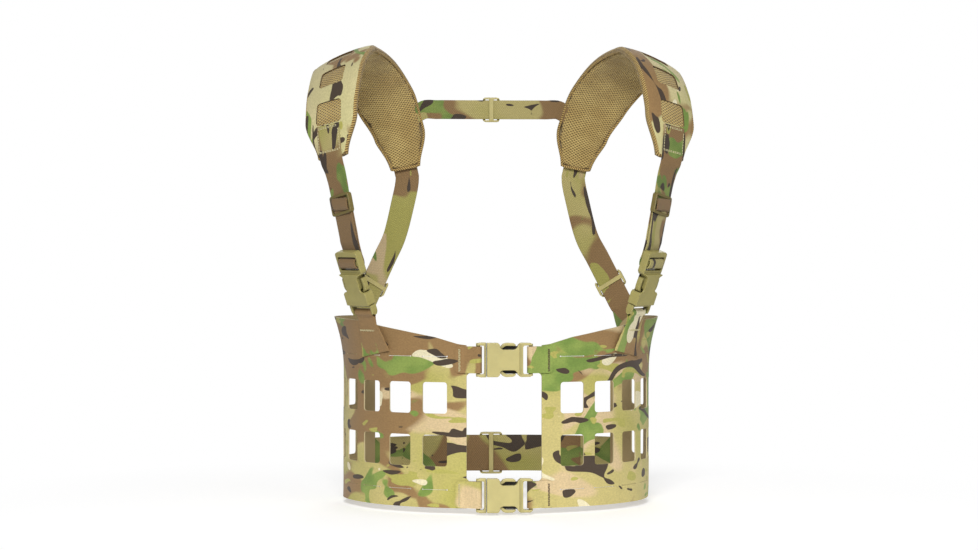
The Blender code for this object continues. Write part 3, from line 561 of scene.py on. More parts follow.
def grid_lines(values, step):
    """Sorted distinct lines that hold every value and are no further apart than step."""
    values = sorted(set(round(value, 6) for value in values))
    out = []
    for low, high in zip(values, values[1:]):
        count = max(1, int(math.ceil((high - low) / step)))
        out += [low + (high - low) * i / count for i in range(count)]
    return out + [values[-1]]


def round_box(run, rise, run0, run1, rise0, rise1, radius):
    """Signed distance to a rounded rectangle, positive inside."""
    over_x = np.abs(run - (run0 + run1) / 2) - (run1 - run0) / 2 + radius
    over_y = np.abs(rise - (rise0 + rise1) / 2) - (rise1 - rise0) / 2 + radius
    return (radius - np.hypot(np.maximum(over_x, 0), np.maximum(over_y, 0))
            - np.minimum(np.maximum(over_x, over_y), 0))


def corners(field):
    return field[:-1, :-1], field[1:, :-1], field[:-1, 1:], field[1:, 1:]


def cell_centres(field):
    first, second, third, fourth = corners(field)
    return (first + second + third + fourth) / 4


def cloth_sheet(name, run, rise, inside, place, uv_of, mats, print_side):
    """A thickened sheet over a grid in cloth space.

    inside(run, rise) is positive on cloth and its zero line is the cut edge. mats are the face,
    the back and the rim. print_side is (column, row, direction) and picks the printed face.
    """
    run, rise = np.array(run, float), np.array(rise, float)
    keep = inside(cell_centres(run), cell_centres(rise)) > 0
    near = np.stack(corners(np.pad(keep, 1)))
    used = near.any(0)
    edge = used & ~near.all(0)
    # move the outline's vertices onto the cut edge by its gradient
    probe, limit = 1e-5, 0.0022
    for _ in range(4):
        gap = inside(run, rise)
        slope_x = (inside(run + probe, rise) - inside(run - probe, rise)) / (2 * probe)
        slope_y = (inside(run, rise + probe) - inside(run, rise - probe)) / (2 * probe)
        steep = np.maximum(slope_x * slope_x + slope_y * slope_y, 0.25)
        move_x = np.clip(np.where(edge, gap * slope_x / steep, 0.0), -limit, limit)
        move_y = np.clip(np.where(edge, gap * slope_y / steep, 0.0), -limit, limit)
        run, rise = run - move_x, rise - move_y
    index = -np.ones(run.shape, int)
    index[used] = np.arange(used.sum())
    spots = [(float(x), float(y)) for x, y in zip(run[used], rise[used])]
    verts = [place(*spot) + SHIFT for spot in spots]
    faces = [(index[i, j], index[i + 1, j], index[i + 1, j + 1], index[i, j + 1])
             for i, j in np.argwhere(keep)]
    column, row, way = print_side
    target = verts[index[column, row]]
    nearest = min(faces, key=lambda face: (verts[face[0]] - target).length_squared)
    first, second, third = (verts[k] for k in nearest[:3])
    if (second - first).cross(third - first).dot(way) < 0:
        faces = [tuple(reversed(face)) for face in faces]
    mesh = bpy.data.meshes.new(name)
    mesh.from_pydata(verts, [], faces)
    write_uvs(mesh, [uv_of(*spot) for spot in spots])
    obj = finish_mesh(name, mesh, mats)
    solid = obj.modifiers.new("t", "SOLIDIFY")
    solid.thickness = LAMINATE_T
    solid.offset = 0.0
    solid.use_even_offset = True
    solid.material_offset = 1
    solid.material_offset_rim = 2
    apply_all(obj)
    shade(obj.data, 50)
    return obj


def skin_rings(name, rings, uvs, mat, angle, closed=False):
    """A skin over rings of equally many points, capped unless closed on itself."""
    verts = [point for ring in rings for point in ring]
    size, count = len(rings[0]), len(rings)
    faces = []
    for i in range(count if closed else count - 1):
        here, there = i * size, (i + 1) % count * size
        for k in range(size):
            k2 = (k + 1) % size
            faces.append((here + k, here + k2, there + k2, there + k))
    if not closed:
        faces.append(tuple(reversed(range(size))))
        faces.append(tuple((count - 1) * size + k for k in range(size)))
    mesh = bpy.data.meshes.new(name)
    mesh.from_pydata(verts, [], faces)
    write_uvs(mesh, uvs)
    turn_outwards(mesh)
    return finish_mesh(name, mesh, [mat], angle)


def strap_section(width, thick):
    """Webbing section with rounded edges, counter-clockwise: (across, out)."""
    radius = thick * 0.48
    flat = width / 2 - radius
    points = []
    for sign, angles in ((1, (120, 155, 205, 240)), (-1, (-60, -25, 25, 60))):
        points += [(sign * flat * (1 - 2 * k / 8), sign * thick / 2) for k in range(9)]
        points += [(-sign * flat + radius * math.cos(math.radians(a)),
                    thick / 2 * math.sin(math.radians(a))) for a in angles]
    return points


def loft(name, frames, mat, uv_start=(0.0, 0.0)):
    """A strap through frames of (point, across, out, width, thickness)."""
    rings, uvs = [], []
    run = 0.0
    previous = frames[0][0]
    for point, across, out, width, thick in frames:
        run += (point - previous).length
        previous = point
        section = strap_section(width, thick)
        rings.append([point + across * y + out * z + SHIFT for y, z in section])
        uvs += [(uv_start[0] + run, uv_start[1] + y) for y, _ in section]
    return skin_rings(name, rings, uvs, mat, angle=45)


Spot = namedtuple("Spot", "point along out across width")


class Path:
    """A smooth path through control points with outward normals and widths."""

    def __init__(self, points, normals, widths=None, steps=24):
        points = [Vector(p) for p in points]
        normals = [Vector(n).normalized() for n in normals]
        widths = widths or [WEB_W] * len(points)
        centres, outs, spans = [], [], []
        for i in range(len(points) - 1):
            p1, p2 = points[i], points[i + 1]
            p0 = points[i - 1] if i > 0 else p1 * 2 - p2
            p3 = points[i + 2] if i + 2 < len(points) else p2 * 2 - p1
            for k in range(steps):
                t = k / steps
                centres.append(0.5 * ((2 * p1) + (p2 - p0) * t
                                      + (2 * p0 - 5 * p1 + 4 * p2 - p3) * t * t
                                      + (3 * p1 - p0 - 3 * p2 + p3) * t ** 3))
                outs.append(normals[i].lerp(normals[i + 1], t).normalized())
                ease = t * t * (3 - 2 * t)
                spans.append(widths[i] * (1 - ease) + widths[i + 1] * ease)
        self.centres = np.array([list(p) for p in centres + [points[-1]]])
        self.outs = np.array([list(n) for n in outs + [normals[-1]]])
        self.widths = np.array(spans + [widths[-1]])
        lengths = np.linalg.norm(np.diff(self.centres, axis=0), axis=1)
        self.runs = np.concatenate([[0.0], np.cumsum(lengths)])
        self.length = float(self.runs[-1])

    def at(self, run):
        """The Spot at a distance along the path, carried on straight past its ends."""
        held = min(max(run, 0.0), self.length)
        probe = min(0.0006, self.length / 50)
        before, after = max(0.0, held - probe), min(self.length, held + probe)

        def look(x, table):
            return [np.interp(x, self.runs, table[:, k]) for k in range(3)]

        point = Vector([float(c) for c in look(held, self.centres)])
        along = Vector([float(end - start) for start, end in
                        zip(look(before, self.centres), look(after, self.centres))])
        along.normalize()
        point = point + along * (run - held)
        out = Vector([float(c) for c in look(held, self.outs)])
        out = (out - along * out.dot(along)).normalized()
        width = float(np.interp(held, self.runs, self.widths))
        return Spot(point, along, out, along.cross(out).normalized(), width)


def ribbon(name, points, acrosses, mat, width=WEB_W, thick=WEB_T, out_first=None,
           uv_start=(0.0, 0.0), widths=None):
    """A strap through control points with given across directions; its out side follows bends."""
    widths = widths or [width] * len(points)
    centres, sides, spans = [], [], []
    for i in range(len(points) - 1):
        p1, p2 = points[i], points[i + 1]
        p0 = points[i - 1] if i > 0 else p1 * 2 - p2
        p3 = points[i + 2] if i + 2 < len(points) else p2 * 2 - p1
        # tangents weighted by span keep short spans from overshooting
        d0, d1, d2 = (max((b - a).length, 1e-5) for a, b in ((p0, p1), (p1, p2), (p2, p3)))
        tangent1 = ((p1 - p0) / d0 * d1 + (p2 - p1) / d1 * d0) / (d0 + d1)
        tangent2 = ((p2 - p1) / d1 * d2 + (p3 - p2) / d2 * d1) / (d1 + d2)
        steps = max(2, min(6, int(d1 / 0.0008)))
        if d1 > 0.02:
            steps = max(steps, int(d1 / 0.004))
        for k in range(steps):
            t = k / steps
            from1, slope1 = 2 * t ** 3 - 3 * t * t + 1, t ** 3 - 2 * t * t + t
            from2, slope2 = -2 * t ** 3 + 3 * t * t, t ** 3 - t * t
            centres.append(p1 * from1 + tangent1 * d1 * slope1 + p2 * from2
                           + tangent2 * d1 * slope2)
            sides.append(Vector(acrosses[i]).lerp(Vector(acrosses[i + 1]), t).normalized())
            ease = t * t * (3 - 2 * t)
            spans.append(widths[i] * (1 - ease) + widths[i + 1] * ease)
    centres.append(points[-1])
    sides.append(Vector(acrosses[-1]).normalized())
    spans.append(widths[-1])
    frames = []
    sign = None
    for i, point in enumerate(centres):
        along = (centres[min(i + 1, len(centres) - 1)] - centres[max(i - 1, 0)]).normalized()
        across = (sides[i] - along * sides[i].dot(along)).normalized()
        out = across.cross(along)
        if sign is None:
            sign = 1.0 if out_first is None or out.dot(out_first) > 0 else -1.0
        frames.append((point, across, out * sign, spans[i], thick))
    return loft(name, frames, mat, uv_start)


def closed_cord(name, centres, outs, radius, flat, sides, mat):
    """A closed cord through centres; flat scales its section across outs."""
    count = len(centres)
    rings, uvs = [], []
    run = 0.0
    for i, centre in enumerate(centres):
        along = (centres[(i + 1) % count] - centres[i - 1]).normalized()
        out = (outs[i] - along * outs[i].dot(along)).normalized()
        across = along.cross(out).normalized()
        if i:
            run += (centre - centres[i - 1]).length
        angles = [2 * math.pi * k / sides for k in range(sides)]
        rings.append([centre + across * radius * math.cos(a) * flat
                      + out * radius * math.sin(a) + SHIFT for a in angles])
        uvs += [(run, radius * a) for a in angles]
    return skin_rings(name, rings, uvs, mat, angle=60, closed=True)


def stitches(name, runs, mat, length=0.0024, gap=0.0009, radius=0.00032, zig=0.0):
    """Rows of raised thread. runs: (points, normals) pairs; each stitch is a bowed capsule."""
    steps, sides = 5, 6
    verts, faces = [], []
    for points, normals in runs:
        spans = [(b - a).length for a, b in zip(points, points[1:])]

        def at(distance):
            passed = 0.0
            for i, span in enumerate(spans):
                if distance <= passed + span or i == len(spans) - 1:
                    t = min(1.0, (distance - passed) / span)
                    return (points[i].lerp(points[i + 1], t),
                            normals[i].lerp(normals[i + 1], t).normalized())
                passed += span

        run, number = 0.0, 0
        while run + length <= sum(spans) + 1e-6:
            start, out = at(run)
            end, _ = at(run + length)
            across = (end - start).normalized().cross(out).normalized()
            if zig:
                lean = across * (-zig if number % 2 else zig)
                start, end = start - lean, end + lean
                across = (end - start).normalized().cross(out).normalized()
            base = len(verts)
            for i in range(steps + 1):
                t = i / steps
                bow = radius * 1.1 * math.sin(math.pi * t) - radius * 0.25
                centre = start.lerp(end, t) + out * bow
                swell = math.sin(math.pi * min(max(t, 0.06), 0.94)) ** 0.5
                girth = radius * (0.35 + 0.65 * swell)
                for j in range(sides):
                    angle = j * math.pi / 3
                    verts.append(centre + across * girth * math.cos(angle)
                                 + out * girth * math.sin(angle) + SHIFT)
            for i in range(steps):
                here, there = base + i * sides, base + (i + 1) * sides
                for j in range(sides):
                    j2 = (j + 1) % sides
                    faces.append((here + j, here + j2, there + j2, there + j))
            faces.append(tuple(base + j for j in reversed(range(sides))))
            faces.append(tuple(base + steps * sides + j for j in range(sides)))
            run += length + gap
            number += 1
    mesh = bpy.data.meshes.new(name)
    mesh.from_pydata(verts, [], faces)
    turn_outwards(mesh)
    return finish_mesh(name, mesh, [mat], 60)


# ================================================================== moulding helpers
def fillet(points, radii):
    """Rounds the corners of a closed loop."""
    steps = 5
    out = []
    count = len(points)
    if not isinstance(radii, list):
        radii = [radii] * count
    for i, (x, y) in enumerate(points):
        if radii[i] <= 0:
            out.append((x, y))
            continue
        before, corner, after = Vector(points[i - 1]), Vector((x, y)), Vector(points[(i + 1) % count])
        back, ahead = (before - corner), (after - corner)
        back_length, ahead_length = back.length, ahead.length
        back.normalize()
        ahead.normalize()
        angle = math.acos(max(-1, min(1, back.dot(ahead))))
        if angle > math.radians(172):
            out.append((x, y))
            continue
        cut = min(radii[i] / math.tan(angle / 2), back_length * 0.48, ahead_length * 0.48)
        start, end = corner + back * cut, corner + ahead * cut
        for k in range(steps + 1):
            t = k / steps
            point = start * (1 - t) ** 2 + corner * 2 * t * (1 - t) + end * t * t
            out.append((point.x, point.y))
    return out


def rounded_rectangle(x0, x1, half, radii):
    return fillet([(x0, -half), (x1, -half), (x1, half), (x0, half)], radii)


def plate_mesh(loop, z0, z1):
    """A flat outline extruded from z0 to z1."""
    curve = bpy.data.curves.new("o", "CURVE")
    curve.dimensions = "2D"
    curve.fill_mode = "BOTH"
    curve.extrude = (z1 - z0) / 2
    spline = curve.splines.new("POLY")
    spline.points.add(len(loop) - 1)
    for point, (x, y) in zip(spline.points, loop):
        point.co = (x, y, 0.0, 1.0)
    spline.use_cyclic_u = True
    carrier = bpy.data.objects.new("o", curve)
    bpy.context.scene.collection.objects.link(carrier)
    mesh = evaluated_mesh(carrier)
    bpy.data.objects.remove(carrier, do_unlink=True)
    bm = bmesh.new()
    bm.from_mesh(mesh)
    bmesh.ops.remove_doubles(bm, verts=bm.verts, dist=1e-6)
    bmesh.ops.translate(bm, verts=bm.verts, vec=(0, 0, (z0 + z1) / 2))
    bmesh.ops.recalc_face_normals(bm, faces=bm.faces)
    bm.to_mesh(mesh)
    bm.free()
    return mesh


def box_mesh(low, high):
    low, high = Vector(low), Vector(high)
    size, middle = high - low, (high + low) / 2
    bm = bmesh.new()
    bmesh.ops.create_cube(bm, size=1.0)
    for v in bm.verts:
        v.co = Vector((v.co.x * size.x, v.co.y * size.y, v.co.z * size.z)) + middle
    mesh = bpy.data.meshes.new("box")
    bm.to_mesh(mesh)
    bm.free()
    return mesh


def rod_mesh(radius, half_length, x, z):
    """A rod along Y, centred at y = 0."""
    bm = bmesh.new()
    bmesh.ops.create_cone(bm, cap_ends=True, segments=24, radius1=radius, radius2=radius,
                          depth=2 * half_length)
    matrix = Matrix.Translation((x, 0, z)) @ Matrix.Rotation(math.pi / 2, 4, "X")
    bmesh.ops.transform(bm, matrix=matrix, verts=bm.verts)
    mesh = bpy.data.meshes.new("rod")
    bm.to_mesh(mesh)
    bm.free()
    return mesh


_MOULDS = {}


def moulded(name, key, shape, matrix, mat, voxel=0.00042):
    """A moulded piece: booleans, a fine voxel skin and smoothing that rounds every edge.

    shape is (start mesh, [(boolean operation, mesh), ...]); pieces with one key share a mould.
    """
    start, cuts = shape
    if key not in _MOULDS:
        obj = bpy.data.objects.new(key, start)
        bpy.context.scene.collection.objects.link(obj)
        tools = []
        for operation, mesh in cuts:
            tool = bpy.data.objects.new("tool", mesh)
            bpy.context.scene.collection.objects.link(tool)
            tools.append(tool)
            cut = obj.modifiers.new("b", "BOOLEAN")
            cut.operation = operation
            cut.solver = "EXACT"
            cut.object = tool
        skin = obj.modifiers.new("r", "REMESH")
        skin.mode = "VOXEL"
        skin.voxel_size = voxel
        soften = obj.modifiers.new("s", "SMOOTH")
        soften.factor = 0.5
        soften.iterations = 4
        thin = obj.modifiers.new("d", "DECIMATE")
        thin.decimate_type = "COLLAPSE"
        thin.ratio = 0.45
        _MOULDS[key] = evaluated_mesh(obj)
        for tool in tools:
            bpy.data.objects.remove(tool, do_unlink=True)
        bpy.data.objects.remove(obj, do_unlink=True)
    mesh = _MOULDS[key].copy()
    mesh.transform(Matrix.Translation(SHIFT) @ matrix)
    return finish_mesh(name, mesh, [mat])


# ================================================================== front panels
BAR_LOOP_R = 2.0 * MM + 0.4 * MM + 0.75 * MM


def window_starts():
    return [WIN_START + k * WIN_PITCH for k in range(WIN_COUNT)]


def tab_path(side):
    """The folded tab's path from the panel's back round the buckle's bar to the front leaf."""
    points = [body_point(around, 0.0, lift * MM)
              for around, lift in ((0.0465, 2.55), (0.0405, 2.55), (0.0365, 2.75))]
    points += [Vector((BAR_X + BAR_LOOP_R * math.cos(math.radians(a)),
                       BAR_Y + BAR_LOOP_R * math.sin(math.radians(a)), 0.0))
               for a in range(-70, -266, -12)]
    points += [body_point(0.0315, 0.0, 0.8 * MM), body_point(0.03545, 0.0, 0.75 * MM)]
    points = [Vector((side * p.x, p.y, 0.0)) for p in reversed(points)]
    return Path(points, [(0, -1, 0)] * len(points), steps=4)


def panel_inside(run, rise):
    top = np.interp(run, *PANEL_TOP)
    gap = np.minimum(np.minimum(top - rise, rise), PANEL_OUTER - run)
    # rounded outer corners
    centre_x = PANEL_OUTER - PANEL_CORNER
    for corner, sign in ((0.0, 1), (0.181, -1)):
        centre_y = corner + sign * PANEL_CORNER
        beyond = (run > centre_x) & ((rise < centre_y) if sign > 0 else (rise > centre_y))
        arc = PANEL_CORNER - np.hypot(run - centre_x, rise - centre_y)
        gap = np.where(beyond, np.minimum(gap, arc), gap)
    # the inner edge, joined to the tabs by concave corners
    inner = run - PANEL_INNER
    centre_x = PANEL_INNER - NOTCH
    for tab_edge, way in ((TAB_HIGH[0], -1), (TAB_LOW[1], 1)):
        centre_y = tab_edge + way * NOTCH
        here = ((run < PANEL_INNER + 1e-7) & ((rise - centre_y) * way <= 1e-7)
                & ((rise - tab_edge) * way >= -1e-7))
        arc = np.hypot(run - centre_x, rise - centre_y) - NOTCH
        inner = np.where(here, np.maximum(inner, arc), inner)
    gap = np.minimum(gap, inner)
    for start in window_starts():
        for low in WIN_ROWS:
            window = round_box(run, rise, start, start + WIN_W, low, low + WIN_H, 0.003)
            gap = np.minimum(gap, -window)
        # slits with a small round hole at each end
        for low in SLITS:
            slit = round_box(run, rise, start, start + WIN_W, low + SLIT_EDGES[0],
                             low + SLIT_EDGES[1], 0.00015)
            gap = np.minimum(gap, -slit)
            for end in (start, start + WIN_W):
                gap = np.minimum(gap, np.hypot(run - end, rise - low - 0.0005) - 0.0007)
    return gap


def panel_lines():
    """Grid columns and rows that follow the windows, slits and notches."""
    notch_steps = (0.0, 0.0005, 0.001, 0.0017, 0.0026, NOTCH)
    columns = [PANEL_OUTER] + [PANEL_INNER - q for q in notch_steps]
    rows = [0.0, 0.150]
    for q in notch_steps:
        rows += [TAB_HIGH[0] - q, TAB_LOW[1] + q]
    for start in window_starts():
        columns += [start + q for q in (-0.0009, 0, 0.0009, 0.002, 0.003, 0.0125)]
        columns += [start + WIN_W + q for q in (-0.003, -0.002, -0.0009, 0, 0.0009)]
    for low in WIN_ROWS:
        for q in (0, 0.001, 0.002, 0.003):
            rows += [low + q, low + WIN_H - q]
    for low in SLITS:
        rows += [low + q for q in (-0.0009, -0.0004, *SLIT_EDGES, 0.0014, 0.0019)]
    return grid_lines(columns, 0.0032), grid_lines(rows, 0.0030)


def waviness(around, z, seed):
    """Gentle waves of the worn laminate, larger at the upper and lower edges."""
    calm, top_rise, bottom_rise, scale = 0.28, 1.1, 0.9, 0.55 * MM
    edge = (max(0.0, (z - 0.150) / 0.03) ** 1.5 * top_rise
            + max(0.0, (0.020 - z) / 0.020) ** 1.5 * bottom_rise)
    wave = (math.sin(around * 41.0 + seed) * math.cos(z * 23.0 + seed * 2.1)
            + 0.5 * math.sin(around * 93.0 + z * 61.0 + seed))
    # nothing within reach of the inner and outer edges
    gate = (min(1.0, max(0.0, (around - 0.046) / 0.02))
            * min(1.0, max(0.0, (0.296 - around) / 0.02)))
    return wave * gate * (calm + edge) * scale


def build_panel(side, word):
    columns, rows = panel_lines()
    # above the last row, more rows stretch up to the sloping top edge
    extra, last = 11, 0.150
    run, rise = [], []
    for column in columns:
        top = float(np.interp(column, *PANEL_TOP))
        heights = rows + [last + (top - last) * (k + 1) / extra for k in range(extra)]
        run.append([column] * len(heights))
        rise.append(heights)

    def place(around, z):
        return body_point(side * around, z, 0.75 * MM + waviness(around, z, side * 1.7 + 3.0))

    first = next(k for k, column in enumerate(columns) if column > PANEL_INNER + 0.002)
    panel = cloth_sheet(word + "_panel_laminate", run, rise, panel_inside, place,
                        lambda around, z: (side * around, z),
                        [PANEL_CLOTH[side], CLOTH_BACK, CLOTH_EDGE],
                        (first, 2, body_normal(side * columns[first], rows[2])))
    attach(panel, word + "_panel", word + "_front_panel")


def build_tab(side, word, tag, low, high):
    """A tab folded round a front buckle's bar, with two bar-tacks."""
    path = tab_path(side)
    length = path.length
    column_count, row_count = 64, 12
    columns = [length * i / column_count for i in range(column_count + 1)]
    rows = [low + (high - low) * j / row_count for j in range(row_count + 1)]
    run, rise = np.meshgrid(columns, rows, indexing="ij")

    def inside(along, z):
        return round_box(along, z, -0.02, length, low, high, 0.0035)

    def place(along, z):
        point = path.at(along).point
        return Vector((point.x, point.y, z))

    tab = cloth_sheet("%s_%s_tab_laminate" % (word, tag), run, rise, inside, place,
                      lambda along, z: (side * (0.0465 - (length - along)), z),
                      [PANEL_CLOTH[side], CLOTH_BACK, CLOTH_EDGE],
                      (column_count - 1, 6, Vector((0, -1, 0))))
    attach(tab, word + "_panel", "%s_%s_tab" % (word, tag))
    runs = []
    heights = [low + 0.0015 + (high - low - 0.003) * k / 8 for k in range(9)]
    for step in (0.0, 0.0009):
        runs.append(([body_point(side * (0.0420 + step), z,
                                 2.55 * MM + LAMINATE_T / 2 + 0.05 * MM) for z in heights],
                     [body_normal(side * 0.042, z) for z in heights]))
    tacks = stitches("%s_%s_tab_stitch" % (word, tag), runs,
                     THREAD if side < 0 else THREAD_DARK,
                     length=0.0016, gap=0.0002, radius=0.00036, zig=0.00045)
    attach(tacks, word + "_panel")


for side, word in SIDES:
    build_panel(side, word)
    build_tab(side, word, "bottom", *TAB_LOW)
    build_tab(side, word, "top", *TAB_HIGH)


# ================================================================== side-release buckles
# A buckle lies along its own x with its width along y and its outer face towards +z.
BUCKLE_T = 0.0105
SLOT_HALF = 0.0136
BAR_R = 0.0020
FRONT_HALF, FRONT_BAR_Z = 16.6 * MM, 0.0035
SHOULDER_HALF, SHOULDER_BAR_X, SHOULDER_BAR_Z = 16.4 * MM, -0.0092, 3.6 * MM

FRONT_BUCKLE = dict(
    key="front", half=FRONT_HALF, well=(-0.0048, 0.0132),
    socket=dict(mouth=(-0.0170, -0.0053), neck_end=0.0120, tail=(0.0128, 0.0272),
                slots=[(0.0177, 0.0300)], bar=(BAR_X, FRONT_BAR_Z, FRONT_HALF - 0.0012)),
    base=dict(x0=-0.0272, x1=-0.0175, bar_x=-BAR_X, bar_z=FRONT_BAR_Z),
    arm=dict(root=-0.0172, tip=0.0118))
SHOULDER_BUCKLE = dict(
    key="shoulder", half=SHOULDER_HALF, well=(0.0135, 0.0316),
    socket=dict(mouth=(0.0, 0.0130), neck_end=0.0300, tail=(0.0310, 0.0545),
                slots=[(0.0355, 0.0400), (0.0445, 0.0490)]),
    base=dict(x0=-0.0112, x1=-0.0005, bar_x=SHOULDER_BAR_X, bar_z=SHOULDER_BAR_Z),
    arm=dict(root=-0.0002, tip=0.0292))


def socket_shape(half, mouth, neck_end, tail, slots, bar=None):
    """The socket: mouth, narrow neck and stepped tail. bar is (x, z, half length)."""
    neck = half * 0.61
    # x, y, corner radius of the +y edge
    edge = [(mouth[0], half - 0.0003, 0.0006), (mouth[1] - 0.0012, half - 0.0003, 0.0014),
            (mouth[1] + 0.0006, half - 0.0022, 0.0010), (mouth[1] + 0.0010, neck + 0.0010, 0.0016),
            (mouth[1] + 0.0035, neck - 0.0003, 0.0016), (neck_end - 0.0026, neck - 0.0003, 0.0030),
            (neck_end - 0.0004, neck + 0.0014, 0.0030), (tail[0], half - 0.0022, 0.0016),
            (tail[0] + 0.0024, half - 0.0002, 0.0022), (tail[1] - 0.0020, half - 0.0004, 0.0018),
            (tail[1] - 0.0002, half - 0.0040, 0.0020)]
    loop = [(x, y) for x, y, _ in edge] + [(x, -y) for x, y, _ in reversed(edge)]
    radii = [radius for _, _, radius in edge]
    start = plate_mesh(fillet(loop, radii + radii[::-1]), 0.0, BUCKLE_T)
    pocket = box_mesh((mouth[0] - 0.002, -half + 0.0022, 0.0019),
                      (mouth[1] + 0.0037, half - 0.0022, BUCKLE_T - 0.0019))
    tail_step = box_mesh((tail[0] + 0.0012, -half - 0.002, 0.0073),
                         (tail[1] + 0.002, half + 0.002, BUCKLE_T + 0.002))
    cuts = [("DIFFERENCE", pocket), ("DIFFERENCE", tail_step)]
    for x0, x1 in slots:
        slot = rounded_rectangle(x0, x1, SLOT_HALF, 0.0012 if x1 - x0 < 0.006 else 0.002)
        cuts.append(("DIFFERENCE", plate_mesh(slot, -0.002, BUCKLE_T + 0.002)))
    if bar:
        x, z, half_length = bar
        cuts.append(("UNION", rod_mesh(BAR_R, half_length, x, z)))
    return start, cuts


def base_shape(half, x0, x1, bar_x, bar_z):
    """The plug's base: a frame open at its outer end, closed by the bar."""
    loop = [(x1, half), (x0 + 0.0004, half), (x0 + 0.0004, -half), (x1, -half)]
    start = plate_mesh(fillet(loop, [0.0006, 0.0045, 0.0045, 0.0006]), 0.0009, 0.0078)
    hole = rounded_rectangle(x0 - 0.004, x1 - 0.0019, SLOT_HALF, [0, 0.0016, 0.0016, 0])
    return start, [("DIFFERENCE", plate_mesh(hole, -0.002, 0.012)),
                   ("UNION", rod_mesh(BAR_R, half - 0.0005, bar_x, bar_z))]


def arm_shape(half, root, tip, sign):
    """A slim arm that leaves the mouth and arches beside the neck as a squeeze ear."""
    ear = root + 0.0127
    # x, y, corner radius
    edge = [(root, 0.0085, 0), (ear + 0.0006, 0.0096, 0.003),
            (ear + 0.0032, half - 0.0050, 0.002), (ear + 0.0056, half - 0.0033, 0.002),
            (tip - 0.0050, half - 0.0033, 0.0015), (tip - 0.0024, half - 0.0036, 0.001),
            (tip - 0.0014, half - 0.0036, 0.0006), (tip - 0.0012, half - 0.0022, 0.0010),
            (tip - 0.0034, half - 0.0005, 0.003), (ear + 0.0062, half - 0.0002, 0.003),
            (ear + 0.0030, half - 0.0010, 0.002), (ear + 0.0006, half - 0.0036, 0.001),
            (root, 0.0124, 0)]
    loop = fillet([(x, y * sign) for x, y, _ in edge], [radius for _, _, radius in edge])
    return plate_mesh(loop, 0.0027, 0.0078), []


def well_shape(half, x0, x1):
    """The socket's rear wall behind the openings beside its neck, very dark as painted shade."""
    middle = box_mesh((x0 - 0.001, -0.0090, 0.0), (x1 + 0.001, 0.0090, 0.004))
    return (box_mesh((x0, -half + 0.0034, 0.0010), (x1, half - 0.0034, 0.0022)),
            [("DIFFERENCE", middle)])


def build_buckle(design, prefix, stem, socket_body, plug, arms, matrix, mat):
    """One buckle. stem starts the object names; arms are the names at +y and -y."""
    key, half = design["key"], design["half"]
    well = moulded(stem + "_rear_wall", key + "_well", well_shape(half, *design["well"]), matrix,
                   NYLON_SHADED)
    attach(well, socket_body)
    socket = moulded(stem + "_socket", key + "_female", socket_shape(half, **design["socket"]),
                     matrix, mat)
    attach(socket, socket_body, prefix + "_buckle_female")
    base = moulded(stem + plug, key + "_male", base_shape(half, **design["base"]), matrix, mat)
    attach(base, prefix + "_plug", prefix + "_buckle_male_base")
    for sign, where in zip((1, -1), arms):
        arm = moulded("%s_%s_arm" % (stem, where), "%s_prong_%d" % (key, sign),
                      arm_shape(half, sign=sign, **design["arm"]), matrix, mat, voxel=0.00036)
        attach(arm, "%s_%s_latch" % (prefix, where), "%s_buckle_%s_prong" % (prefix, where))


for which, z in (("bottom", BOTTOM_BUCKLE_Z), ("top", TOP_BUCKLE_Z)):
    build_buckle(FRONT_BUCKLE, which, which + "_buckle", which + "_socket", "_plug",
                 ("upper", "lower"),
                 axes_matrix(Vector((1, 0, 0)), Vector((0, -1, 0)),
                             Vector((0.0, BAR_Y + FRONT_BAR_Z, z))), NYLON)


# ================================================================== shoulder straps
# right pad's centre path from the front end over the shoulder to the rear end:
# point, outward normal, width
PAD_STATIONS = (
    ((.163, -.098, .336), (.50, -.84, .10), .030),
    ((.166, -.088, .375), (.52, -.80, .30), .055),
    ((.163, -.066, .412), (.55, -.55, .62), .060),
    ((.156, -.030, .4360), (.42, -.22, .88), .062),
    ((.148, .010, .4405), (.35, .04, .93), .062),
    ((.131, .050, .430), (.32, .35, .88), .062),
    ((.112, .080, .405), (.25, .68, .68), .060),
    ((.097, .098, .372), (.18, .88, .40), .052),
    ((.090, .106, .335), (.10, .97, .15), .030),
)
PAD_W = 0.062
CROWN = 3.0 * MM                               # drop of a pad's edge at its full width
PAD_WIN_COUNT, PAD_WIN_START, PAD_WIN_PITCH = 6, 0.045, 0.043
PAD_WIN_HALF_L, PAD_WIN_HALF_W = 0.012, 0.0140
PAD_WINDOWS = [PAD_WIN_START + k * PAD_WIN_PITCH for k in range(PAD_WIN_COUNT)]
TAB_AROUND = 0.1435                            # shoulder tab's place round the body
SLIDE_AT = 0.52                                # slider's share of the way down the webbing

PADS = {word: Path([(side * x, y, z) for (x, y, z), _, _ in PAD_STATIONS],
                   [(side * x, y, z) for _, (x, y, z), _ in PAD_STATIONS],
                   [width for _, _, width in PAD_STATIONS]) for side, word in SIDES}

# webbing's last part, woven through the ladder lock: buckle x, buckle z in mm
LADDER_WEAVE = ((0.0530, -1.35), (0.0500, -1.35), (0.0482, -0.9), (0.0470, 1.0), (0.0467, 4.0),
                (0.0465, 6.6), (0.0450, 8.25), (0.0425, 8.55), (0.0398, 8.25), (0.0381, 6.6),
                (0.0378, 4.0), (0.0378, 1.0), (0.0378, -1.0))
# shoulder tab's outer leaf: step towards the front's middle, height, lift in mm, width
TAB_LEAF = ((0.0006, 0.1740, 3.7, 0.0262), (0.0016, 0.170, 3.5, 0.0285),
            (0.0032, 0.165, 3.5, 0.0325), (0.0050, 0.1585, 3.0, 0.0365),
            (0.0066, 0.151, 2.05, 0.0395), (0.0076, 0.146, 2.0, 0.0410))


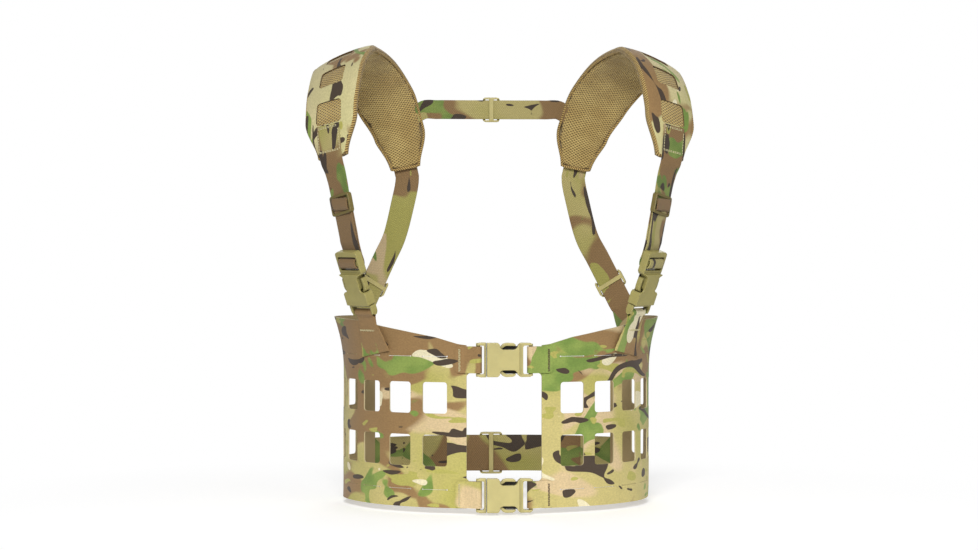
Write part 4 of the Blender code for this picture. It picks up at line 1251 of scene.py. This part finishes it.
def shoulder_matrix(side):
    along = Vector((side * .280, -.250, .946)).normalized()
    out = Vector((side * .77, -.64, 0.0))
    out = (out - along * out.dot(along)).normalized()
    bar = body_point(side * TAB_AROUND, 0.1865, 4.2 * MM)
    return axes_matrix(along, out, bar - along * SHOULDER_BAR_X - out * SHOULDER_BAR_Z)


def build_shoulder_tab(side, word, matrix, out, across):
    """The cloth tab from the panel's top round the plug's bar, with its bar-tacks."""
    around = side * TAB_AROUND
    radius = 3.15 * MM
    loop = [matrix @ Vector((SHOULDER_BAR_X + radius * math.cos(math.radians(a)), 0,
                             SHOULDER_BAR_Z + radius * math.sin(math.radians(a))))
            for a in range(-140, 141, 20)]
    level = (body_point(around + 0.001, 0.16) - body_point(around - 0.001, 0.16)).normalized()
    level = facing(level, across)
    inner_leaf = [body_point(around, z, 2.05 * MM) for z in (0.1590, 0.163, 0.168, 0.1735)]
    outer_leaf = [body_point(around - side * step, z, lift * MM)
                  for step, z, lift, _ in TAB_LEAF]
    tab = ribbon(word + "_shoulder_tab", inner_leaf + loop + outer_leaf,
                 [level] * len(inner_leaf) + [across] * len(loop) + [level] * len(outer_leaf),
                 PANEL_CLOTH[side], thick=1.15 * MM, out_first=-out, uv_start=(around, 0.33),
                 widths=([0.025] * (len(inner_leaf) + len(loop))
                         + [width for _, _, _, width in TAB_LEAF]))
    attach(tab, word + "_panel", word + "_shoulder_buckle_tab")
    runs = [([body_point(around - side * 0.002 + q * 0.0130, z, 3.5 * MM + 0.66 * MM)
              for q in (-1, -0.5, 0, 0.5, 1)], [body_normal(around, z)] * 5)
            for z in (0.1690, 0.1682)]
    tacks = stitches(word + "_shoulder_tab_stitch", runs, THREAD, length=0.0016, gap=0.0002,
                     radius=0.00034, zig=0.00035)
    attach(tacks, word + "_panel")


def build_front_webbing(side, word, matrix, out, across):
    """Webbing sewn over the pad's front end, down to the ladder lock and woven through it.

    Returns the hanging part's (start, end, out, across).
    """
    path = PADS[word]
    top = path.at(0.0)
    start = top.point - top.along * 0.004

    def local(x, z):
        return matrix @ Vector((x, 0, z))

    end = local(0.060, -1.35 * MM)
    points, sides = [], []
    for run in (0.0315, 0.026, 0.019, 0.011, 0.003):
        spot = path.at(run)
        points.append(spot.point + spot.out * SEWN_LIFT)
        sides.append(facing(spot.across, across))
    pad_side = sides[-1]
    for share, lift, turn in ((0.03, 3.6, 0.15), (0.12, 1.2, 0.4)):
        points.append(start.lerp(end, share) + top.out * lift * MM)
        sides.append(pad_side.lerp(across, turn))
    for share in (0.24, 0.45, 0.7, 0.9, 1.0):
        points.append(start.lerp(end, share))
        sides.append(pad_side.lerp(across, min(1.0, 0.4 + share * 0.8)))
    points += [local(x, z * MM) for x, z in LADDER_WEAVE]
    sides += [across] * len(LADDER_WEAVE)
    web = ribbon(word + "_front_webbing", points, sides, FRONT_WEB[side],
                 out_first=path.at(0.02).out)
    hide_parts(word + "_shoulder_webbing", word + "_front_strap")
    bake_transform(web)

    # the layer behind, whose upper end goes round the slider's middle bar
    along = (end - start).normalized()
    behind = (out - along * out.dot(along)).normalized()
    middle = start.lerp(end, SLIDE_AT)
    nudge = across * (0.0004 if across.x * side < 0 else -0.0004)
    points = [local(0.0378, -2.3 * MM), local(0.0400, -3.1 * MM), local(0.0500, -3.2 * MM)]
    points += [start.lerp(end, share) - behind * 2.0 * MM + nudge
               for share in (0.97, 0.85, 0.72, 0.62)]
    points += [middle + along * 0.0036 - behind * 2.1 * MM + nudge,
               middle + along * 0.0022 - behind * 1.62 * MM + nudge * 0.5,
               middle + along * 0.0004 - behind * 1.62 * MM]
    layer = ribbon(word + "_return_webbing", points, [across] * len(points), FRONT_WEB[side],
                   width=24.6 * MM, thick=1.1 * MM, out_first=-out, uv_start=(0.31, 0.05))
    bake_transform(layer)
    return start, end, out, across


def build_shoulder_stitch(word):
    """Stitches round the part of the webbing that is sewn to the pad."""
    path = PADS[word]
    half = 0.0113

    def sewn(run, share, proud):
        spot = path.at(run)
        lift = SEWN_LIFT + WEB_T / 2 + proud
        return spot.point + spot.across * share * half + spot.out * lift

    runs = []
    for run in (0.0285, 0.0050):
        for step in (0.0, 0.0011):
            runs.append(([sewn(run + step, q, 0.10 * MM) for q in (-1, 0, 1)],
                         [path.at(run + step).out] * 3))
    edge_runs = [0.0055 + 0.0230 * k / 10 for k in range(11)]
    for q in (-1, 1):
        runs.append(([sewn(run, q, 0.08 * MM) for run in edge_runs],
                     [path.at(run).out for run in edge_runs]))
    seam = stitches(word + "_shoulder_stitch", runs, THREAD, length=0.0021, gap=0.0006,
                    radius=0.00038)
    attach(seam, "back_harness")


hanging = {}
for side, word in SIDES:
    matrix = shoulder_matrix(side)
    out = (matrix.to_3x3() @ Vector((0, 0, 1))).normalized()
    across = (matrix.to_3x3() @ Vector((0, 1, 0))).normalized()
    stem = word + "_shoulder"
    build_buckle(SHOULDER_BUCKLE, stem, stem, word + "_strap", "_plug_base",
                 ("inner", "outer") if side > 0 else ("outer", "inner"), matrix, NYLON_SHOULDER_PAINTED_SHADE)
    build_shoulder_tab(side, word, matrix, out, across)
    hanging[word] = build_front_webbing(side, word, matrix, out, across)
    build_shoulder_stitch(word)


# ================================================================== slides
def slide_shape(half_strap, length):
    """A slide with two side rails, end bars and a middle bar under the strap."""
    rail, inner = half_strap + 0.0030, half_strap + 0.0009
    top, low = WEB_T / 2 + 0.0019, -WEB_T / 2 - 0.0018
    start = plate_mesh(rounded_rectangle(-length / 2, length / 2, rail, 0.0038), low, top)
    boxes = (((-length, -inner, -WEB_T / 2 - 0.0004), (length, inner, WEB_T / 2 + 0.0004)),
             ((-length / 2 + 0.0028, -inner, 0.0), (length / 2 - 0.0028, inner, top + 0.002)),
             ((-length, -inner, low - 0.002), (-0.0024, inner, 0.0)),
             ((0.0024, -inner, low - 0.002), (length, inner, 0.0)))
    return start, [("DIFFERENCE", box_mesh(*box)) for box in boxes]


def build_slide(name, matrix, half_strap, length, node, body, mat=NYLON):
    slide = moulded(name, "slide_%g_%g" % (half_strap, length), slide_shape(half_strap, length),
                    matrix, mat)
    attach(slide, body, node)


# webbing's hump over a slide's middle, in mm: along, out
SLIDE_HUMP = ((-5.9, 1.0), (-5.5, 1.5), (-4.8, 2.4), (-3.0, 3.1), (0, 3.3),
              (3.0, 3.1), (4.8, 2.4), (5.5, 1.5), (5.9, 1.0))

for side, word in SIDES:
    start, end, out, across = hanging[word]
    along = (end - start).normalized()
    out = (out - along * out.dot(along)).normalized()
    matrix = axes_matrix(along, out, start.lerp(end, SLIDE_AT))
    build_slide(word + "_strap_slide", matrix, WEB_W / 2, 0.020, word + "_strap_slider",
                word + "_slider", NYLON_SLIDER_PAINTED_SHADE)
    hump = [matrix @ Vector((x * MM, 0, z * MM)) for x, z in SLIDE_HUMP]
    loop = ribbon(word + "_slide_loop", hump, [across] * len(hump), FRONT_WEB[side],
                  width=24.4 * MM, thick=1.0 * MM, uv_start=(0.42, 0.02))
    attach(loop, word + "_slider")


# ================================================================== shoulder pads
def crown_drop(across):
    return CROWN * (2 * across / PAD_W) ** 2


def nearest_on(path, points):
    """For each point: distance along and across the path, height over it, outward normal."""
    runs = np.linspace(0, path.length, 400)
    spots = [path.at(run) for run in runs]
    centres, alongs, outs, acrosses = (
        np.array([list(getattr(spot, part)) for spot in spots])
        for part in ("point", "along", "out", "across"))
    found = []
    for point in points:
        k = int(np.argmin(((centres - point) ** 2).sum(1)))
        away = point - centres[k]
        found.append((runs[k] + float(away @ alongs[k]), float(away @ acrosses[k]),
                      float(away @ outs[k]), outs[k]))
    return found


def vertex_array(mesh):
    return np.array([v.co for v in mesh.vertices], float)


def inflated(obj):
    """Vertex places after the lining is blown up as cloth for 20 frames."""
    scene = bpy.context.scene
    cloth = obj.modifiers.new("cloth", "CLOTH")
    cloth.settings.quality = 5
    cloth.settings.mass = 0.15
    cloth.settings.tension_stiffness = 18
    cloth.settings.compression_stiffness = 18
    cloth.settings.bending_stiffness = 0.6
    cloth.settings.use_pressure = True
    cloth.settings.uniform_pressure_force = 4.0
    cloth.settings.effector_weights.gravity = 0.0
    cloth.collision_settings.use_collision = False
    cloth.collision_settings.use_self_collision = False
    cloth.point_cache.frame_start = 1
    cloth.point_cache.frame_end = 20
    for i in range(1, 21):
        scene.frame_set(i)
    graph = bpy.context.evaluated_depsgraph_get()
    moved = vertex_array(obj.evaluated_get(graph).data)
    obj.modifiers.clear()
    scene.frame_set(1)
    return moved


def build_lining(side, word, path):
    """The CAD lining, softened by inflation and held down where the cover presses on it."""
    most, held, in_window, sideways = 1.5 * MM, 0.25 * MM, 0.15 * MM, 0.6
    mesh = frame["nodes"][word + "_pad_lining"].data.copy()
    obj = bpy.data.objects.new(word + "_lining_soft", mesh)
    bpy.context.scene.collection.objects.link(obj)
    skin = obj.modifiers.new("r", "REMESH")
    skin.mode = "VOXEL"
    skin.voxel_size = 0.0042
    apply_all(obj)
    rest = vertex_array(obj.data)
    moved = inflated(obj)
    delta = moved - rest
    size = np.linalg.norm(delta, axis=1)
    delta *= np.minimum(1.0, most / np.maximum(size, 1e-9))[:, None]
    shift = np.array(list(SHIFT))
    places = []
    for i, (run, across, height, out) in enumerate(nearest_on(path, rest - shift)):
        rise = float(delta[i] @ out)
        slide = delta[i] - rise * out
        if height + crown_drop(across) > 0.5 * MM:
            # held down by the cover, freer inside its windows
            free = 0.0
            for centre in PAD_WINDOWS:
                free = max(free, max(0.0, 1 - (abs(run - centre) / PAD_WIN_HALF_L) ** 4)
                           * max(0.0, 1 - (abs(across) / PAD_WIN_HALF_W) ** 4))
            rise = min(rise, held) * (1 - free) + free * in_window
        else:
            rise = max(rise, -most)
        places.append(rest[i] + (slide * sideways + rise * out))
    for v, place in zip(obj.data.vertices, places):
        v.co = place
    obj.modifiers.new("sub", "SUBSURF").levels = 1
    apply_all(obj)
    # the two faces and the two sides get separate parts of the cloth map
    side_shift, under_shift = 2.0, 0.2
    write_uvs(obj.data, [
        (run + side * side_shift, across + (under_shift if height < -crown_drop(across) else 0.0))
        for run, across, height, _ in nearest_on(path, vertex_array(obj.data) - shift)])
    obj.data.materials.clear()
    obj.data.materials.append(SPACER_MESH)
    obj.data.shade_smooth()
    attach(obj, "back_harness", word + "_pad_lining")


def build_cover(side, word, path):
    """The pad's outer cloth with its row of windows."""
    length = path.length
    runs = np.linspace(0, length, 200)
    halves = np.array([path.at(run).width / 2 for run in runs])
    tip_radius = 0.009

    def inside(run, across):
        half = np.interp(run, runs, halves)
        gap = np.minimum(np.minimum(run, length - run), half - np.abs(across))
        # rounded tips
        for centre, way in ((tip_radius, -1), (length - tip_radius, 1)):
            level = float(np.interp(centre, runs, halves)) - tip_radius + 0.0015
            corner = ((run - centre) * way > 0) & (np.abs(across) > level)
            arc = tip_radius - np.hypot(run - centre, np.abs(across) - level)
            gap = np.where(corner, np.minimum(gap, arc), gap)
        for centre in PAD_WINDOWS:
            window = round_box(run, across, centre - PAD_WIN_HALF_L, centre + PAD_WIN_HALF_L,
                               -PAD_WIN_HALF_W, PAD_WIN_HALF_W, 0.0034)
            gap = np.minimum(gap, -window)
        return gap

    columns = [0.0, length, 0.0310]
    for centre in PAD_WINDOWS:
        for q in (PAD_WIN_HALF_L, 0.011, 0.0095, 0.0088):
            columns += [centre - q, centre + q]
    columns = grid_lines(columns, 0.0034)
    inner_rows, outer_count = [0, 0.005, 0.0100, 0.0114, 0.0127, PAD_WIN_HALF_W], 8
    run_grid, across_grid = [], []
    for column in columns:
        reach = max(float(np.interp(column, runs, halves)), 0.0148) - PAD_WIN_HALF_W
        upper = inner_rows + [PAD_WIN_HALF_W + reach * (k + 1) / outer_count
                              for k in range(outer_count)]
        rows = [-row for row in reversed(upper[1:])] + upper
        run_grid.append([column] * len(rows))
        across_grid.append(rows)

    def place(run, across):
        spot = path.at(run)
        wave = 0.22 * MM * math.sin(run * 90 + across * 40) * (1 if abs(across) > 0.012 else 0.3)
        edge = max(0.0, abs(across) - spot.width / 2 + 0.005) / 0.005
        lift = 0.00400 - crown_drop(across) + wave - edge * 0.5 * MM
        return spot.point + spot.across * across + spot.out * lift

    cover = cloth_sheet(word + "_pad_cover", run_grid, across_grid, inside, place,
                        lambda run, across: (run, across),
                        [PAD_CLOTH[side], CLOTH_BACK, PAD_EDGE],
                        (len(columns) // 2, 2, path.at(length / 2).out))
    attach(cover, "back_harness", word + "_pad_shell")


def build_binding(word, path):
    """The bound edge round the pad."""
    length = path.length
    count = 110
    side_runs = [0.0015 + (length - 0.003) * k / count for k in range(count + 1)]
    upper = [(run, path.at(run).width / 2 - 0.0002) for run in side_runs]
    lower = [(run, -across) for run, across in reversed(upper)]
    rear, front = upper[-1][1] * 0.75, upper[0][1] * 0.75
    rear_end = [(length - 0.0005, across) for across in np.linspace(rear, -rear, 7)]
    front_end = [(0.0005, across) for across in np.linspace(-front, front, 7)]
    centres, outs = [], []
    for run, across in upper + rear_end + lower + front_end:
        spot = path.at(run)
        centres.append(spot.point + spot.across * across
                       + spot.out * (0.9 * MM - crown_drop(across)))
        outs.append(spot.out)
    binding = closed_cord(word + "_pad_binding", centres, outs, radius=3.3 * MM, flat=0.48,
                          sides=12, mat=BINDING)
    attach(binding, "back_harness")


for side, word in SIDES:
    build_cover(side, word, PADS[word])
    build_lining(side, word, PADS[word])
    build_binding(word, PADS[word])


# ================================================================== back straps
def build_back_strap(side, word):
    """Webbing from the pad's rear end to the panel's outer edge, its lead and its slide."""
    pad = PADS[word]
    tip = pad.at(pad.length)
    turn = Vector((side * .1015, .1045, .2640))
    low_end = body_point(side * .3240, .2010, 4.5 * MM)
    flat = (body_normal(side * .345, .20) + Vector((0, .5, 0))).normalized()
    back = Path([tip.point + tip.along * .0012, tip.point + tip.along * .0120,
                 Vector((side * .0925, .1080, .3000)), turn, turn.lerp(low_end, .4), low_end],
                [tip.out, tip.out, (side * .1, 1, 0.0), flat, flat, flat])
    # the part sewn on the pad
    frames = []
    for inset in (0.030, 0.022, 0.014, 0.006):
        spot = pad.at(pad.length - inset)
        frames.append((spot.point + spot.out * SEWN_LIFT, spot.across, spot.out, WEB_W, WEB_T))
    sewn_across = frames[-1][1]
    # the free part, settling from the pad's height over its first five steps
    first, step = 0.004, 0.004
    count = max(2, int(math.ceil(abs(back.length - first) / step)) + 1)
    for k in range(count):
        spot = back.at(first + (back.length - first) * k / (count - 1))
        settle = max(0.0, 1 - k / 5.0)
        frames.append((spot.point + spot.out * (3.6 * MM * settle),
                       facing(spot.across, sewn_across), spot.out, spot.width, WEB_T))
    attach(loft(word + "_back_webbing", frames, BACK_WEB[side]), "back_harness",
           word + "_back_strap")

    end = back.at(back.length)
    landing = [body_point(side * .3060, .1830, 3.6 * MM), body_point(side * .2960, .1730, 2.5 * MM),
               body_point(side * .2860, .1620, 2.45 * MM)]
    out = body_normal(side * .292, .168)
    strap_across = frames[-1][1]
    sewn = facing((landing[2] - landing[1]).normalized().cross(out).normalized(), strap_across)
    points = [end.point, end.point + end.along * 0.007, end.point + end.along * 0.014] + landing
    lead = ribbon(word + "_back_lead", points,
                  [strap_across, strap_across, strap_across.lerp(sewn, .3),
                   strap_across.lerp(sewn, .75), sewn, sewn],
                  BACK_WEB[side], out_first=end.out, uv_start=(0.17, 0.0))
    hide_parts(word + "_back_tab")
    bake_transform(lead)
    runs = []
    for share in (0.25, 0.85):
        centre = landing[1].lerp(landing[2], share)
        runs.append(([centre + sewn * k * 0.011 + out * 0.80 * MM for k in (-1, 0, 1)],
                     [out] * 3))
    attach(stitches(word + "_back_lead_stitch", runs, THREAD, radius=0.0003), word + "_panel")
    spot = back.at(back.length - .016)
    build_slide(word + "_back_slide_buckle", axes_matrix(spot.along, spot.out, spot.point),
                WEB_W / 2, 0.018, word + "_back_adjuster", word + "_back_slide")


for side, word in SIDES:
    build_back_strap(side, word)

# ================================================================== waist strap
WAIST_Z, WAIST_W = 0.035, 0.038
WAIST_BACK_Y = .0985
UP = Vector((0, 0, 1))
# lead on the panel: distance round the body, lift in mm
WAIST_LEAD = ((.3350, .75), (.327, .75), (.319, .85), (.312, 1.2), (.306, 1.75), (.301, 2.1),
              (.294, 2.2), (.285, 2.2), (.276, 2.2))


def waist_line(side):
    """Points from the lead's end, behind the panel, to the middle of the back."""
    points = [body_point(side * around, WAIST_Z, .75 * MM)
              for around in (.3350, .342, .352, .362, .371, .380)]
    return points + [Vector((side * x, y, WAIST_Z)) for x, y in
                     ((.040, .0973), (.029, WAIST_BACK_Y), (.010, WAIST_BACK_Y),
                      (0, WAIST_BACK_Y))]


def build_waist_lead(side, word):
    """The waist strap's end, sewn on the panel."""
    points = [body_point(side * around, WAIST_Z, lift * MM) for around, lift in WAIST_LEAD]
    lead = ribbon(word + "_waist_lead", points, [UP] * len(points), PLAIN_WEB, width=WAIST_W,
                  out_first=body_normal(side * .33, WAIST_Z), uv_start=(-0.02, 0.0))
    body_point(side * .326, WAIST_Z) + SHIFT
    body_point(side * .298, WAIST_Z) + SHIFT
    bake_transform(lead)
    out = body_normal(side * .286, WAIST_Z)
    runs = [([body_point(side * around, WAIST_Z + q * .017, 3.02 * MM) for q in (-1, 0, 1)],
             [out] * 3) for around in (.280, .292)]
    attach(stitches(word + "_waist_lead_stitch", runs, THREAD, radius=0.0003), word + "_panel")


waist_points = waist_line(-1) + list(reversed(waist_line(1)))[1:]
waist = ribbon("waist_webbing", waist_points, [UP] * len(waist_points), PLAIN_WEB,
               width=WAIST_W, out_first=body_normal(-.335, WAIST_Z))
attach(waist, "back_harness", "waist_strap")
for side, word in SIDES:
    build_waist_lead(side, word)
build_slide("waist_slide_buckle",
            axes_matrix(Vector((-1, 0, 0)), Vector((0, 1, 0)), Vector((0, WAIST_BACK_Y, WAIST_Z))),
            WAIST_W / 2, 0.024, "waist_adjuster", "waist_slide")

# ================================================================== cross strap
CROSS_Z, CROSS_W = 0.384, 0.020


def cross_end(side, word):
    """The strap's end under a pad: three points from pad to middle, its across direction."""
    path = PADS[word]
    run = min([path.length * k / 200 for k in range(201)],
              key=lambda q: abs(path.at(q).point.z - CROSS_Z) + (path.at(q).point.y <= 0))
    spot = path.at(run)
    inward = spot.across if spot.across.x * side < 0 else -spot.across
    points = [spot.point + inward * (spot.width / 2 + reach) - spot.out * drop
              for reach, drop in ((-0.006, 3.0 * MM), (0.000, 2.6 * MM))]
    edge = spot.point + inward * (spot.width / 2 + 0.0055)
    across = spot.out.cross(inward).normalized()
    return points, edge, spot.out, across if across.z > 0 else -across


(left, left_edge, left_out, left_across) = cross_end(-1, "left")
(right, right_edge, right_out, right_across) = cross_end(1, "right")
cross_y, cross_z = left_edge.y + 0.001, left_edge.z
cross_points = left + [left_edge - left_out * 0.0012]
cross_points += [Vector((x, cross_y, cross_z)) for x in
                 (left_edge.x + 0.014, -0.03, 0, 0.03, right_edge.x - 0.014)]
cross_points += [right_edge - right_out * 0.0012] + right[::-1]
upward = Vector((0, -0.1, 1)).normalized()
cross_sides = ([left_across] * 2 + [left_across.lerp(upward, .4)] + [upward] * 5
               + [right_across.lerp(upward, .4)] + [right_across] * 2)
cross = ribbon("cross_webbing", cross_points, cross_sides, PLAIN_WEB, width=CROSS_W,
               uv_start=(0.0, 0.08))
attach(cross, "back_harness", "cross_strap")
build_slide("cross_slide_buckle",
            axes_matrix(Vector((1, 0, 0)), Vector((0, 1, 0.1)).normalized(),
                        Vector((0, cross_y, cross_z))),
            CROSS_W / 2, 0.018, "cross_adjuster", "cross_slide")


# ================================================================== stage, light and camera
def camera_switch(net, otherwise):
    """1 for what the camera sees directly, otherwise a dimmer value."""
    seen = net.new("ShaderNodeLightPath").outputs["Is Camera Ray"]
    return net.ramp(seen, to=(otherwise, 1.0), kind="LINEAR")


def build_world():
    """The backdrop is white to the camera and gives a softer light."""
    world = bpy.context.scene.world or bpy.data.worlds.new("world")
    bpy.context.scene.world = world
    net = ShaderNet(world)
    background = net.tree.nodes["Background"]
    background.inputs[0].default_value = (1.0, 1.0, 1.0, 1.0)
    net.put(background.inputs[1], camera_switch(net, otherwise=0.28))


def build_floor():
    """A pale floor that fades to the backdrop's white away from the vest."""
    bpy.ops.mesh.primitive_plane_add(size=24.0, location=(0, 0, -0.002))
    floor = bpy.context.active_object
    floor.name = "floor"
    net = material_net("floor")
    for key, value in {"Base Color": (0.93, 0.93, 0.93, 1), "Roughness": 0.9,
                       "Emission Color": (1, 1, 1, 1), "Emission Strength": 0.34}.items():
        net.bsdf.inputs[key].default_value = value
    distance = net.new("ShaderNodeVectorMath", operation="LENGTH")
    net.put(distance.inputs[0], net.object_position())
    white = net.new("ShaderNodeEmission")
    net.put(white.inputs["Strength"], camera_switch(net, otherwise=0.35))
    both = net.new("ShaderNodeMixShader")
    net.put(both.inputs[0], net.ramp(distance.outputs["Value"], between=(0.24, 0.62)))
    net.put(both.inputs[1], net.bsdf.outputs[0])
    net.put(both.inputs[2], white.outputs[0])
    net.put(net.tree.nodes["Material Output"].inputs[0], both.outputs[0])
    floor.data.materials.append(net.owner)


def area_light(name, location, target, size, power):
    light = bpy.data.lights.new(name, "AREA")
    light.shape = "DISK"
    light.size = size
    light.energy = power
    obj = bpy.data.objects.new(name, light)
    obj.location = location
    aim = Vector(target) - Vector(location)
    obj.rotation_euler = aim.to_track_quat("-Z", "Y").to_euler()
    bpy.context.scene.collection.objects.link(obj)


def build_camera(distance, azimuth, aim):
    """A level camera in front of the vest; azimuth turns it about +Z, in degrees."""
    data = bpy.data.cameras.new("camera")
    data.lens = 85
    data.sensor_width = 36
    data.clip_start = 0.01
    data.clip_end = 50
    camera = bpy.data.objects.new("camera", data)
    bpy.context.scene.collection.objects.link(camera)
    turn = math.radians(azimuth)
    camera.location = aim + Vector((math.sin(turn) * distance, -math.cos(turn) * distance, 0.0))
    camera.rotation_euler = (aim - camera.location).to_track_quat("-Z", "Y").to_euler()
    bpy.context.scene.camera = camera


build_world()
build_floor()
area_light("key", location=(-0.25, -2.3, 1.3), target=(0, 0, 0.2), size=0.8, power=43)
area_light("fill", location=(1.2, -1.7, 0.6), target=(0, 0, 0.2), size=1.2, power=5)
area_light("back", location=(0.2, 1.6, 1.3), target=(0, 0, 0.3), size=1.4, power=10)
build_camera(distance=2.32, azimuth=-3.0, aim=Vector((-0.0083, 0.0, 0.2263)))
bpy.context.scene.view_settings.view_transform = "Standard"
